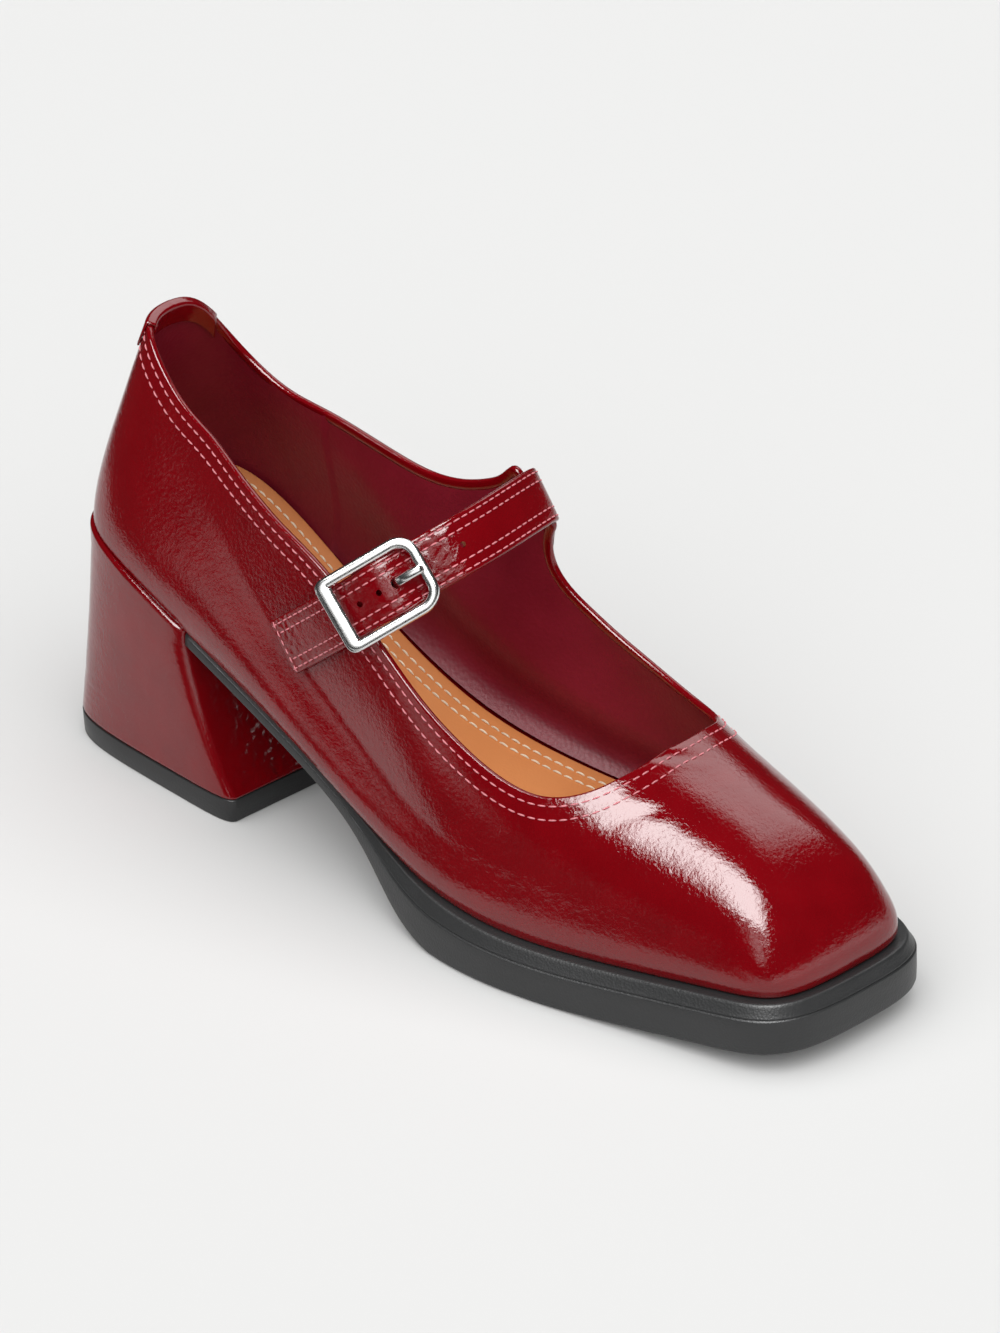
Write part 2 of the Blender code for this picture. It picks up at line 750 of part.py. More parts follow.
def make_back_tab(finish):
    """Strip folded over the topline at the back seam."""
    out = BACK_TAB_OUTER_GAP
    top = BACK_TAB_TOP_GAP
    inn = UPPER_WALL + BACK_TAB_INNER_GAP
    thick = BACK_TAB_THICKNESS
    sections = []
    for place in np.linspace(-BACK_TAB_SPAN, BACK_TAB_SPAN, BACK_TAB_SECTIONS):
        side = -1 if place < 0 else 1
        angle = rim_angle(abs(place), side)
        station = np.array(abs(place) if side < 0 else STATIONS - place)
        rim = last_point(station, np.array(angle))
        down = unit(last_point(station, np.array(angle - 0.5)) - rim)
        normal = last_normal(station, np.array(angle))
        normal = unit(normal - down * np.dot(normal, down))
        outline = (
            (out + thick, BACK_TAB_DEPTH),
            (out + thick, -top),
            (out, -top - thick),
            (-inn, -top - thick),
            (-inn - thick, -top),
            (-inn - thick, BACK_TAB_INNER_DEPTH),
            (-inn, BACK_TAB_INNER_DEPTH),
            (-inn, -top),
            (out, -top),
            (out, BACK_TAB_DEPTH),
        )
        sections.append(np.array([rim + normal * a + down * b for a, b in outline]))
    points, faces = loft(sections)
    return make_object("back_tab", points, faces, finish)


def strap_rows():
    """Rows of the strap's middle line."""
    outer = last_point(np.array(OUTER_SEAT[0]), np.array(OUTER_SEAT[1]))
    inner = last_point(np.array(STATIONS - INNER_SEAT[0]), np.array(INNER_SEAT[1]))
    rows = []
    for across, forward, up in STRAP:
        point = outer + (inner - outer) * across
        rows.append(point + np.array([forward, 0.0, up]) * STRAP_ARCH)
    return np.array(rows)


def strap_frame(rows, place):
    """Point, run, width and face directions of the strap at a place."""
    step = 0.01
    point = spline_open(rows, np.array(place))
    ahead = spline_open(rows, np.array(min(place + step, len(rows) - 1)))
    behind = spline_open(rows, np.array(max(place - step, 0)))
    run = unit(ahead - behind)
    tilt = np.array(STRAP_TILT)
    width = unit(tilt - run * np.dot(tilt, run))
    face = np.cross(width, run)
    return point, run, width, face


def buckle_axes():
    """Middle, run, width and face directions of the buckle."""
    return strap_frame(strap_rows(), BUCKLE_ROW)


def strap_offset(point):
    """How far the strap leaves its middle line to thread the buckle."""
    middle, run, _, _ = buckle_axes()
    reach = BUCKLE_LENGTH / 2 - RAIL_THICKNESS / 2
    travel = abs(np.dot(point - middle, run) - CENTRE_BAR_OFFSET) / reach
    if travel < 1:
        return STRAP_HUMP - (STRAP_HUMP + STRAP_DIP) * math.sin(travel * math.pi / 2) ** 2
    return -STRAP_DIP * math.exp(-(((travel - 1) * STRAP_RECOVERY) ** 2))


def make_strap(finish, cutter):
    rows = strap_rows()
    half_width = STRAP_WIDTH / 2
    half = STRAP_THICKNESS / 2
    soft = STRAP_EDGE
    outline = (
        (-half_width, -half + soft),
        (-half_width + soft, -half),
        (half_width - soft, -half),
        (half_width, -half + soft),
        (half_width, half - soft),
        (half_width - soft, half),
        (-half_width + soft, half),
        (-half_width, half - soft),
    )
    sections = []
    for place in np.linspace(0, len(rows) - 1, STRAP_SECTIONS):
        point, _, width, face = strap_frame(rows, place)
        centre = point + face * strap_offset(point)
        sections.append(np.array([centre + width * a + face * b for a, b in outline]))
    points, faces = loft(sections)
    piece = make_object("strap", points, faces, finish)
    hole = piece.modifiers.new("prong_hole", "BOOLEAN")
    hole.operation = "DIFFERENCE"
    hole.object = cutter
    return piece


def tube(path, radius_of, sides, closed=False):
    """Sections round a path given as points with their width and face directions."""
    sections = []
    for point, width, face, (half_width, half_face) in zip(*path, radius_of):
        loop = []
        for k in range(sides):
            turn = 2 * math.pi * k / sides
            loop.append(point + width * math.cos(turn) * half_width + face * math.sin(turn) * half_face)
        sections.append(np.array(loop))
    return loft(sections, closed)


def round_rod(points, radius, sides):
    """Rod of one radius along points."""
    points = np.asarray(points, float)
    runs = np.gradient(points, axis=0)
    runs = runs / np.linalg.norm(runs, axis=1, keepdims=True)
    side = unit(np.cross(runs[0], (0.3, 0.5, 0.8)))
    widths, faces = [], []
    for run in runs:
        side = unit(side - run * np.dot(side, run))
        widths.append(side)
        faces.append(np.cross(run, side))
    sizes = [(radius, radius)] * len(points)
    return tube((points, widths, faces), sizes, sides)


def frame_outline():
    """Middle line of the buckle's frame, run and width in its own plane."""
    half_run = BUCKLE_LENGTH / 2 - RAIL_THICKNESS / 2
    half_width = BUCKLE_WIDTH / 2 - RAIL_THICKNESS / 2
    corners = (
        (half_run, half_width, FRAME_CORNER, 0),
        (-half_run, half_width, FRAME_FLAT_CORNER, 90),
        (-half_run, -half_width, FRAME_FLAT_CORNER, 180),
        (half_run, -half_width, FRAME_CORNER, 270),
    )
    places = []
    for run, width, radius, start in corners:
        centre_run = run - math.copysign(radius, run)
        centre_width = width - math.copysign(radius, width)
        for k in range(CORNER_STEPS):
            turn = math.radians(start + 90 * k / (CORNER_STEPS - 1))
            places.append((centre_run + radius * math.cos(turn), centre_width + radius * math.sin(turn)))
    return places


def make_buckle(finish):
    middle, run, width, face = buckle_axes()
    places = frame_outline()
    count = len(places)
    points, sides_at, faces_at, sizes = [], [], [], []
    for k, (a, b) in enumerate(places):
        before = np.array(places[k - 1])
        after = np.array(places[(k + 1) % count])
        tangent = unit(after - before)
        normal = np.array([tangent[1], -tangent[0]])
        points.append(middle + run * a + width * b + face * FRAME_LIFT)
        sides_at.append(run * normal[0] + width * normal[1])
        faces_at.append(face)
        on_flat = a < -BUCKLE_LENGTH / 2 + RAIL_THICKNESS
        sizes.append((FLAT_BAR_WIDTH / 2 if on_flat else RAIL_THICKNESS / 2, RAIL_THICKNESS / 2))
    ring_points, ring_faces = tube((points, sides_at, faces_at), sizes, ROD_SIDES, closed=True)
    piece = make_object("buckle_frame", ring_points, ring_faces, finish)
    half = BUCKLE_WIDTH / 2 - RAIL_THICKNESS / 2
    start = middle + run * CENTRE_BAR_OFFSET + face * FRAME_LIFT
    bar = [start - width * half * a - face * BAR_DROP * b for a, b in CENTRE_BAR]
    bar += [start + width * half * a - face * BAR_DROP * b for a, b in CENTRE_BAR[::-1]]
    bar_points, bar_faces = round_rod(bar, CENTRE_BAR_THICKNESS / 2, ROD_SIDES)
    rod = make_object("centre_bar", bar_points, bar_faces, finish)
    rod.hide_render = True
    rod.display_type = "WIRE"
    join = piece.modifiers.new("centre_bar", "BOOLEAN")
    join.operation = "UNION"
    join.object = rod
    return piece


def prong_path():
    """Middle line of the prong: round the centre bar, up through the strap, over the frame."""
    middle, run, _, face = buckle_axes()
    bar = middle + run * CENTRE_BAR_OFFSET + face * (FRAME_LIFT - BAR_DROP)
    radius = CENTRE_BAR_THICKNESS / 2 + GAP + PRONG_THICKNESS / 2
    places = []
    start, sweep = PRONG_LOOP
    for k in range(LOOP_STEPS + 1):
        turn = math.radians(start + sweep * k / LOOP_STEPS)
        places.append(bar + run * math.cos(turn) * radius + face * math.sin(turn) * radius)
    rest = FRAME_LIFT + RAIL_THICKNESS / 2 + GAP + PRONG_THICKNESS / 2
    for along, rise in PRONG:
        places.append(middle + run * PRONG_HOLE_OFFSET * (1 + along) + face * rest * rise)
    return places


def make_prong(finish):
    points, faces = round_rod(prong_path(), PRONG_THICKNESS / 2, PRONG_SIDES)
    return make_object("buckle_prong", points, faces, finish)


def make_prong_cutter(finish):
    middle, run, _, face = buckle_axes()
    place = middle + run * PRONG_HOLE_OFFSET
    ends = [place - face * STRAP_THICKNESS * 2, place + face * STRAP_THICKNESS * 3]
    points, faces = round_rod(ends, PRONG_HOLE / 2, ROD_SIDES)
    cutter = make_object("prong_hole", points, faces, finish)
    cutter.hide_render = True
    cutter.display_type = "WIRE"
    return cutter


def make_buckle_tab(finish, cutter):
    """Strip hooked round the centre bar, its tail sewn to the rim of the quarter."""
    middle, run, width, face = buckle_axes()
    bar = middle + run * CENTRE_BAR_OFFSET + face * (FRAME_LIFT - BAR_DROP)
    radius = CENTRE_BAR_THICKNESS / 2 + GAP + BUCKLE_TAB_THICKNESS / 2
    places = []
    start, sweep = BUCKLE_TAB_LOOP
    for k in range(LOOP_STEPS + 1):
        turn = math.radians(start + sweep * k / LOOP_STEPS)
        places.append(bar + run * math.cos(turn) * radius + face * math.sin(turn) * radius)
    station = BUCKLE_TAB_STATION
    angle = rim_angle(station, -1)
    rim = last_point(np.array(station), np.array(angle))
    normal = last_normal(np.array(station), np.array(angle))
    down = unit(rim - last_point(np.array(station), np.array(angle + 1.0)))
    end = rim - normal * UPPER_WALL / 2 - down * GAP * 2
    beside = [
        last_point(np.array(place), np.array(rim_angle(place, -1)))
        for place in (station - RIM_STEP, station + RIM_STEP)
    ]
    along_rim = unit(beside[1] - beside[0])
    last = places[-1]
    widths = [width] * len(places)
    for share in BUCKLE_TAB_TAIL:
        places.append(last + (end - last) * share - face * BUCKLE_TAB_SAG * (1 - share))
        widths.append(unit(width * (1 - share) + along_rim * share))
    half_width = BUCKLE_TAB_WIDTH / 2
    half = BUCKLE_TAB_THICKNESS / 2
    runs = np.gradient(np.array(places), axis=0)
    sections = []
    for place, along, side in zip(places, runs, widths):
        across = unit(np.cross(side, along))
        loop = [
            place - side * half_width - across * half,
            place + side * half_width - across * half,
            place + side * half_width + across * half,
            place - side * half_width + across * half,
        ]
        sections.append(np.array(loop))
    points, faces = loft(sections)
    piece = make_object("buckle_tab", points, faces, finish)
    slot = piece.modifiers.new("prong_slot", "BOOLEAN")
    slot.operation = "DIFFERENCE"
    slot.object = cutter
    return piece


def make_slot_cutter(finish):
    middle, run, width, face = buckle_axes()
    half = PRONG_THICKNESS / 2 + PRONG_SLOT_ROOM
    corners = []
    reach = PRONG_SLOT_REACH
    for a in (-PRONG_SLOT_BEHIND, CENTRE_BAR_OFFSET + reach):
        start = middle + run * a
        loop = [
            start + width * half + face * reach,
            start - width * half + face * reach,
            start - width * half - face * reach,
            start + width * half - face * reach,
        ]
        corners.append(np.array(loop))
    points, faces = loft(corners)
    cutter = make_object("prong_slot", points, faces, finish)
    cutter.hide_render = True
    cutter.display_type = "WIRE"
    return cutter


def build():
    for piece in list(bpy.data.objects):
        bpy.data.objects.remove(piece, do_unlink=True)
    patent = material("patent_leather", (0.22, 0.004, 0.012), 0.18, coat=1.0)
    sole = material("sole_rubber", (0.02, 0.021, 0.021), 0.55)
    sock = material("insole_leather", (0.62, 0.25, 0.07), 0.5)
    silver = material("buckle_metal", (0.78, 0.78, 0.76), 0.15, metallic=1.0)
    make_upper(patent)
    make_insole(sock)
    make_outsole(sole)
    make_heel(patent)
    make_top_lift(sole)
    make_back_tab(patent)
    make_strap(patent, make_prong_cutter(patent))
    make_buckle(silver)
    make_prong(silver)
    make_buckle_tab(patent, make_slot_cutter(patent))


build()
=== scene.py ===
"""Looks of the right shoe, a patent mary jane pump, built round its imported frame."""

import math

import bmesh
import bpy
import numpy as np
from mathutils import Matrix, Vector, noise
from mathutils.bvhtree import BVHTree


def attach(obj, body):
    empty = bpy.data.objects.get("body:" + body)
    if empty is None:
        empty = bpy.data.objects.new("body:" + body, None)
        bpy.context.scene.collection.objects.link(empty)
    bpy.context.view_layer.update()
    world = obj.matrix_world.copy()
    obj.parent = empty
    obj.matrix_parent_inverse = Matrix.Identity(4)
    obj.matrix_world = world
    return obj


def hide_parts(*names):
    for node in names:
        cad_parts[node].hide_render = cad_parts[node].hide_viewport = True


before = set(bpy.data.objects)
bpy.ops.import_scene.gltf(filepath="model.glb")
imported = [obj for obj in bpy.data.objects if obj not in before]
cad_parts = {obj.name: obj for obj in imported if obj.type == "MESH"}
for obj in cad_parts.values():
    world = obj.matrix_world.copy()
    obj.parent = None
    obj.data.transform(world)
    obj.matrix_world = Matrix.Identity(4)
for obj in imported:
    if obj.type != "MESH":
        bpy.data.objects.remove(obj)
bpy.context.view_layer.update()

# Stage
# A plain pale table under studio softboxes, seen from the shoe's toe and outer side,
# from above. The camera stands where the photographer's stood.

CAMERA_PLACE = (0.951087, -0.803214, 0.736464)
CAMERA_AIM = (0.0916, 0.0115, 0.0545)
CAMERA_LENS = 152.0
CAMERA_NEAR = 0.05
CAMERA_FAR = 40.0
TABLE_HALF = 4.5
TABLE_COLOUR = (0.60, 0.60, 0.595, 1.0)
TABLE_GLOW = 0.03
WHITE = (1.0, 1.0, 1.0, 1.0)


def aim(thing, place, target):
    """Stands a camera or a lamp in its place and points it at a target."""
    thing.location = place
    thing.rotation_mode = "QUATERNION"
    thing.rotation_quaternion = (Vector(target) - Vector(place)).to_track_quat("-Z", "Y")
    bpy.context.scene.collection.objects.link(thing)


def new_paint(name):
    """New material with its nodes, its links and its shader."""
    made = bpy.data.materials.new(name)
    made.use_nodes = True
    nodes = made.node_tree.nodes
    return made, nodes, made.node_tree.links, nodes["Principled BSDF"]


def set_inputs(node, values):
    """Sets a node's inputs by their names."""
    for label, value in values.items():
        node.inputs[label].default_value = value


def studio_sheet(name, corners, paint_name, values):
    """Flat sheet of the studio in one plain paint."""
    mesh = bpy.data.meshes.new(name)
    mesh.from_pydata(corners, [], [tuple(range(len(corners)))])
    paint, _, _, shader = new_paint(paint_name)
    set_inputs(shader, values)
    mesh.materials.append(paint)
    made = bpy.data.objects.new(name, mesh)
    bpy.context.scene.collection.objects.link(made)
    return made


def mirrored_only(thing):
    """Leaves a thing to the reflections alone."""
    thing.visible_camera = False
    thing.visible_diffuse = False
    thing.visible_shadow = False


camera_data = bpy.data.cameras.new("camera")
camera_data.lens = CAMERA_LENS
camera_data.clip_start = CAMERA_NEAR
camera_data.clip_end = CAMERA_FAR
camera = bpy.data.objects.new("camera", camera_data)
aim(camera, CAMERA_PLACE, CAMERA_AIM)
bpy.context.scene.camera = camera
bpy.context.scene.view_settings.view_transform = "Standard"

table = studio_sheet(
    "table",
    [(x * TABLE_HALF, y * TABLE_HALF, 0.0) for x, y in ((-1, -1), (1, -1), (1, 1), (-1, 1))],
    "pale_table",
    {
        "Base Color": TABLE_COLOUR,
        "Roughness": 0.9,
        "Specular IOR Level": 0.1,
        "Emission Color": WHITE,
        "Emission Strength": TABLE_GLOW,
    },
)

# Soft light from the whole ceiling, which falls on the shoe and the table alike.
CEILING_PLACE = (0.45, -0.55, 2.0)
CEILING_POWER = 4.6
CEILING_SPREAD = math.radians(110)
ceiling_light = bpy.data.lights.new("ceiling", "SUN")
ceiling_light.energy = CEILING_POWER
ceiling_light.angle = CEILING_SPREAD
ceiling = bpy.data.objects.new("ceiling", ceiling_light)
aim(ceiling, CEILING_PLACE, (0.0, 0.0, 0.0))
ceiling.visible_glossy = False

# Softboxes that the lacquer and the metal mirror: place and aim in metres, width and
# height of the box, power in watts. They add nothing to the light on the table.
SOFTBOXES = (
    # name, place, aim, size, power
    ("main_box", (0.58, -0.86, 1.98), (0.14, 0.0, 0.03), (1.30, 1.60), 95.0),
    ("rear_box", (-0.42, 1.25, 1.40), (0.14, 0.0, 0.04), (1.20, 0.90), 8.0),
    ("key_box", (1.05, -0.92, 0.98), (0.16, 0.0, 0.03), (0.14, 0.14), 0.6),
    ("buckle_box", (0.78, -1.22, 0.78), (0.08, -0.02, 0.08), (0.42, 0.42), 1.2),
)
for name, place, target, size, power in SOFTBOXES:
    light = bpy.data.lights.new(name, "AREA")
    light.shape = "RECTANGLE"
    light.size, light.size_y = size
    light.energy = power
    lamp = bpy.data.objects.new(name, light)
    aim(lamp, place, target)
    lamp.visible_diffuse = False

# Black flag on the table, which only the lacquer and the metal mirror.
FLAG_RISE = 0.0006
FLAG_OUTLINE = (
    (-0.10, -4.0),
    (0.230, -0.150),
    (0.215, -0.105),
    (0.130, -0.098),
    (0.084, -0.074),
    (0.024, -0.090),
    (-0.020, -0.108),
    (-0.110, -0.130),
    (-0.300, -0.130),
    (-0.320, 1.000),
    (-4.0, 1.0),
    (-4.0, -4.0),
    (-2.10, -4.0),
    (-0.150, -0.250),
    (-0.090, -0.215),
    (-0.030, -0.225),
    (-0.60, -4.0),
)
flag = studio_sheet(
    "black_flag",
    [(x, y, FLAG_RISE) for x, y in FLAG_OUTLINE],
    "black_cloth",
    {"Base Color": (0.01, 0.01, 0.01, 1.0), "Roughness": 1.0},
)
mirrored_only(flag)

# White card standing in front of the toe, which only the lacquer mirrors.
CARD_X = 1.10
CARD_HEIGHT = 0.20
CARD_ENDS = (-0.9, 1.6)
CARD_GLOW = 0.75
card = studio_sheet(
    "toe_card",
    [
        (CARD_X, CARD_ENDS[0], 0.0),
        (CARD_X, CARD_ENDS[1], 0.0),
        (CARD_X, CARD_ENDS[1], CARD_HEIGHT),
        (CARD_X, CARD_ENDS[0], CARD_HEIGHT),
    ],
    "white_card",
    {"Base Color": (0.8, 0.8, 0.8, 1.0), "Emission Color": WHITE, "Emission Strength": CARD_GLOW},
)
mirrored_only(card)

# The studio is dark round the shoe, with the same pale sweep behind it as the table.
BACKDROP_TONE = 0.87
STUDIO_TONE = 0.03
studio = bpy.data.worlds.new("studio")
studio.use_nodes = True
studio_light = studio.node_tree.nodes["Background"]
sight = studio.node_tree.nodes.new("ShaderNodeLightPath")
tone = studio.node_tree.nodes.new("ShaderNodeMapRange")
set_inputs(tone, {"To Min": STUDIO_TONE, "To Max": BACKDROP_TONE})
studio.node_tree.links.new(sight.outputs["Is Camera Ray"], tone.inputs["Value"])
studio.node_tree.links.new(tone.outputs["Result"], studio_light.inputs["Strength"])
set_inputs(studio_light, {"Color": WHITE})
bpy.context.scene.world = studio

# Upper
# Vamp and quarters of dark red crinkled patent leather, stretched over the last and
# drawn under the insole. The topline is folded over and topstitched with two rows.

SHOE_LENGTH = 0.246
BALL_WIDTH = 0.088
SEAT_HEIGHT = 0.066
INSTEP_HEIGHT = 0.105
COUNTER_HEIGHT = 0.055
UPPER_WALL = 0.0018
BULGE_RISE = 0.008
GAP = 0.0003
FOREPART_SOLE = 0.013
TOE_SPRING = 0.0058
HEEL_FOOT_LENGTH = 0.069
WALL_POWER = 2.65
CROWN_POWER = 2.45
LEAN_POWER = 1.3
BULGE_SHARE = 0.15
BULGE_CREST = 6.75
RIB_LEAN_POWER = 4
RIDGE_ANGLE = 90.0

# Feather line, from the back seam round the outer side, the toe and the inner side.
# along and ridge are shares of SHOE_LENGTH, across of BALL_WIDTH, ledge of LEDGE,
# bulge of BULGE_RISE. lean is the share by which the rib draws in at COUNTER_HEIGHT.
LAST = (
    # along, across, ridge, ledge, bulge, lean
    (0.026, 0.000, 0.187, 0.00, 0.12, 0.30),
    (0.028, -0.136, 0.187, 0.00, 0.07, 0.33),
    (0.049, -0.273, 0.187, 0.00, 0.04, 0.40),
    (0.114, -0.313, 0.187, 0.00, 0.10, 0.46),
    (0.203, -0.301, 0.224, 0.00, 0.25, 0.36),
    (0.305, -0.273, 0.305, 0.00, 0.40, 0.09),
    (0.407, -0.261, 0.407, 0.06, 0.48, 0.00),
    (0.492, -0.278, 0.496, 0.38, 0.38, 0.00),
    (0.577, -0.318, 0.581, 0.84, 0.19, 0.00),
    (0.663, -0.307, 0.663, 1.00, 0.10, 0.00),
    (0.748, -0.244, 0.732, 1.00, 0.08, 0.00),
    (0.833, -0.170, 0.780, 1.00, 0.08, 0.00),
    (0.907, -0.114, 0.805, 1.00, 0.08, 0.00),
    (0.961, -0.074, 0.813, 1.00, 0.08, 0.00),
    (0.974, 0.057, 0.813, 1.00, 0.08, 0.00),
    (0.974, 0.193, 0.813, 1.00, 0.08, 0.00),
    (0.974, 0.330, 0.813, 1.00, 0.08, 0.00),
    (0.961, 0.438, 0.813, 1.00, 0.08, 0.00),
    (0.907, 0.486, 0.805, 1.00, 0.08, -0.10),
    (0.833, 0.515, 0.780, 1.00, 0.15, -0.13),
    (0.755, 0.532, 0.732, 1.00, 0.20, -0.13),
    (0.674, 0.532, 0.663, 1.00, 0.28, -0.15),
    (0.593, 0.486, 0.581, 0.84, 0.38, -0.24),
    (0.504, 0.398, 0.496, 0.42, 0.48, -0.36),
    (0.411, 0.313, 0.407, 0.08, 0.56, -0.36),
    (0.305, 0.295, 0.305, 0.00, 0.48, -0.17),
    (0.203, 0.307, 0.224, 0.00, 0.25, 0.20),
    (0.114, 0.313, 0.187, 0.00, 0.10, 0.46),
    (0.049, 0.273, 0.187, 0.00, 0.04, 0.40),
    (0.028, 0.136, 0.187, 0.00, 0.07, 0.33),
)
STATIONS = len(LAST)
TOE_STATION = STATIONS // 2
LAST_RIDGE, LAST_LEDGE, LAST_BULGE, LAST_LEAN = range(2, 6)

# Profile along the shoe: rise is a share of the heel's lift, spring of TOE_SPRING,
# sole of FOREPART_SOLE, crown of INSTEP_HEIGHT, centre of BALL_WIDTH.
PROFILE = (
    # along, rise, spring, sole, crown, centre
    (0.000, 1.000, 0.00, 0.33, 1.752, 0.017),
    (0.081, 0.934, 0.00, 0.33, 1.786, 0.022),
    (0.163, 0.783, 0.00, 0.33, 1.862, 0.027),
    (0.224, 0.651, 0.00, 0.33, 1.929, 0.035),
    (0.325, 0.425, 0.00, 0.33, 1.281, 0.055),
    (0.407, 0.264, 0.00, 0.33, 1.000, 0.068),
    (0.447, 0.194, 0.00, 0.36, 0.900, 0.076),
    (0.488, 0.132, 0.00, 0.58, 0.800, 0.083),
    (0.528, 0.087, 0.00, 0.97, 0.705, 0.090),
    (0.569, 0.047, 0.00, 1.14, 0.614, 0.097),
    (0.650, 0.006, 0.00, 1.20, 0.489, 0.118),
    (0.724, 0.000, 0.00, 1.20, 0.415, 0.142),
    (0.772, 0.000, 0.08, 1.20, 0.370, 0.157),
    (0.837, 0.000, 0.28, 1.20, 0.317, 0.174),
    (0.915, 0.000, 0.61, 1.20, 0.250, 0.184),
    (1.000, 0.000, 1.00, 1.20, 0.185, 0.193),
)

PROFILE_RISE, PROFILE_SPRING, PROFILE_SOLE, PROFILE_CROWN, PROFILE_CENTRE = range(1, 6)
PROFILE_SAMPLES = 3001

# Topline from the throat to the back seam: the station on the feather line where the
# rib starts, the station where it ends, and the angle round the section where it ends.
OUTER_TOPLINE = (
    # foot, station, angle
    (10.20, 10.24, 90.0),
    (10.05, 10.17, 79.0),
    (9.90, 10.05, 70.0),
    (9.74, 9.93, 62.0),
    (9.57, 9.77, 54.8),
    (9.40, 9.58, 48.8),
    (9.22, 9.38, 44.6),
    (9.05, 9.17, 42.0),
    (8.85, 8.92, 40.2),
    (8.55, 8.58, 38.6),
    (8.18, 8.18, 37.0),
    (7.78, 7.78, 35.0),
    (7.36, 7.36, 32.4),
    (6.92, 6.92, 30.4),
    (6.48, 6.48, 28.4),
    (6.05, 6.05, 26.0),
    (5.65, 5.65, 22.4),
    (5.25, 5.25, 18.2),
    (4.82, 4.82, 14.4),
    (4.34, 4.34, 11.5),
    (3.70, 3.70, 10.2),
    (2.90, 2.90, 10.9),
    (2.10, 2.10, 12.1),
    (1.55, 1.55, 12.4),
    (1.00, 1.00, 12.5),
    (0.50, 0.50, 12.5),
    (0.00, 0.00, 12.5),
)
INNER_TOPLINE = (
    # foot, station, angle
    (10.20, 10.24, 90.0),
    (10.02, 10.12, 83.0),
    (9.83, 9.96, 74.0),
    (9.64, 9.80, 64.0),
    (9.45, 9.62, 56.0),
    (9.26, 9.42, 49.8),
    (9.04, 9.16, 44.8),
    (8.76, 8.82, 40.6),
    (8.40, 8.42, 37.2),
    (8.00, 8.00, 34.6),
    (7.58, 7.58, 32.0),
    (7.22, 7.22, 30.0),
    (6.98, 6.96, 29.0),
    (6.82, 6.78, 29.8),
    (6.74, 6.70, 32.6),
    (6.69, 6.73, 37.6),
    (6.64, 6.82, 42.4),
    (6.58, 6.78, 43.4),
    (6.50, 6.60, 42.8),
    (6.42, 6.42, 43.3),
    (6.34, 6.32, 43.1),
    (6.24, 6.23, 39.6),
    (6.10, 6.10, 33.8),
    (5.92, 5.92, 28.8),
    (5.70, 5.70, 23.8),
    (5.42, 5.42, 19.0),
    (5.08, 5.08, 14.9),
    (4.70, 4.70, 11.7),
    (4.25, 4.25, 9.3),
    (3.70, 3.70, 8.0),
    (3.05, 3.05, 7.6),
    (2.35, 2.35, 8.3),
    (1.80, 1.80, 9.7),
    (1.35, 1.35, 11.1),
    (0.90, 0.90, 12.0),
    (0.45, 0.45, 12.4),
    (0.00, 0.00, 12.5),
)


def unit(vectors):
    """Directions of length 1."""
    vectors = np.asarray(vectors, float)
    return vectors / np.linalg.norm(vectors, axis=-1, keepdims=True)


def spline_weights(fraction):
    """Uniform cubic B-spline weights of the four rows round a place."""
    f = fraction
    return (
        (1 - f) ** 3 / 6,
        (3 * f**3 - 6 * f**2 + 4) / 6,
        (-3 * f**3 + 3 * f**2 + 3 * f + 1) / 6,
        f**3 / 6,
    )


def spline_open(rows, place, before=None, after=None):
    """Smooth curve through a table's rows; place counts rows from 0."""
    rows = np.asarray(rows, float)
    first = 2 * rows[0] - rows[1] if before is None else np.asarray(before, float)
    last = 2 * rows[-1] - rows[-2] if after is None else np.asarray(after, float)
    padded = np.vstack([first, rows, last])
    place = np.clip(np.asarray(place, float), 0, len(rows) - 1)
    index = np.minimum(np.floor(place).astype(int), len(rows) - 2)
    weights = spline_weights(place - index)
    return sum(w[..., None] * padded[index + k] for k, w in enumerate(weights))


def spline_closed(rows, place):
    """The same round a closed table."""
    rows = np.asarray(rows, float)
    place = np.asarray(place, float)
    index = np.floor(place).astype(int)
    weights = spline_weights(place - index)
    return sum(w[..., None] * rows[(index + k - 1) % len(rows)] for k, w in enumerate(weights))


PROFILE_CURVE = spline_open(PROFILE, np.linspace(0, len(PROFILE) - 1, PROFILE_SAMPLES))


def profile(along, column):
    """A column of PROFILE at lengths along the shoe in metres."""
    shares = np.asarray(along, float) / SHOE_LENGTH
    return np.interp(shares, PROFILE_CURVE[:, 0], PROFILE_CURVE[:, column])


def bottom_height(along):
    """Height of the lasted bottom."""
    lift = (SEAT_HEIGHT - FOREPART_SOLE) * profile(along, PROFILE_RISE)
    return FOREPART_SOLE + lift + TOE_SPRING * profile(along, PROFILE_SPRING)


def feather(station):
    """Plan place of the feather line."""
    rows = spline_closed(LAST, station)
    return np.stack([rows[..., 0] * SHOE_LENGTH, rows[..., 1] * BALL_WIDTH], -1)


def outward(station):
    """Plan direction away from the shoe at the feather line."""
    step = 1e-3
    run = unit(feather(station + step) - feather(station - step))
    return np.stack([run[..., 1], -run[..., 0]], -1)


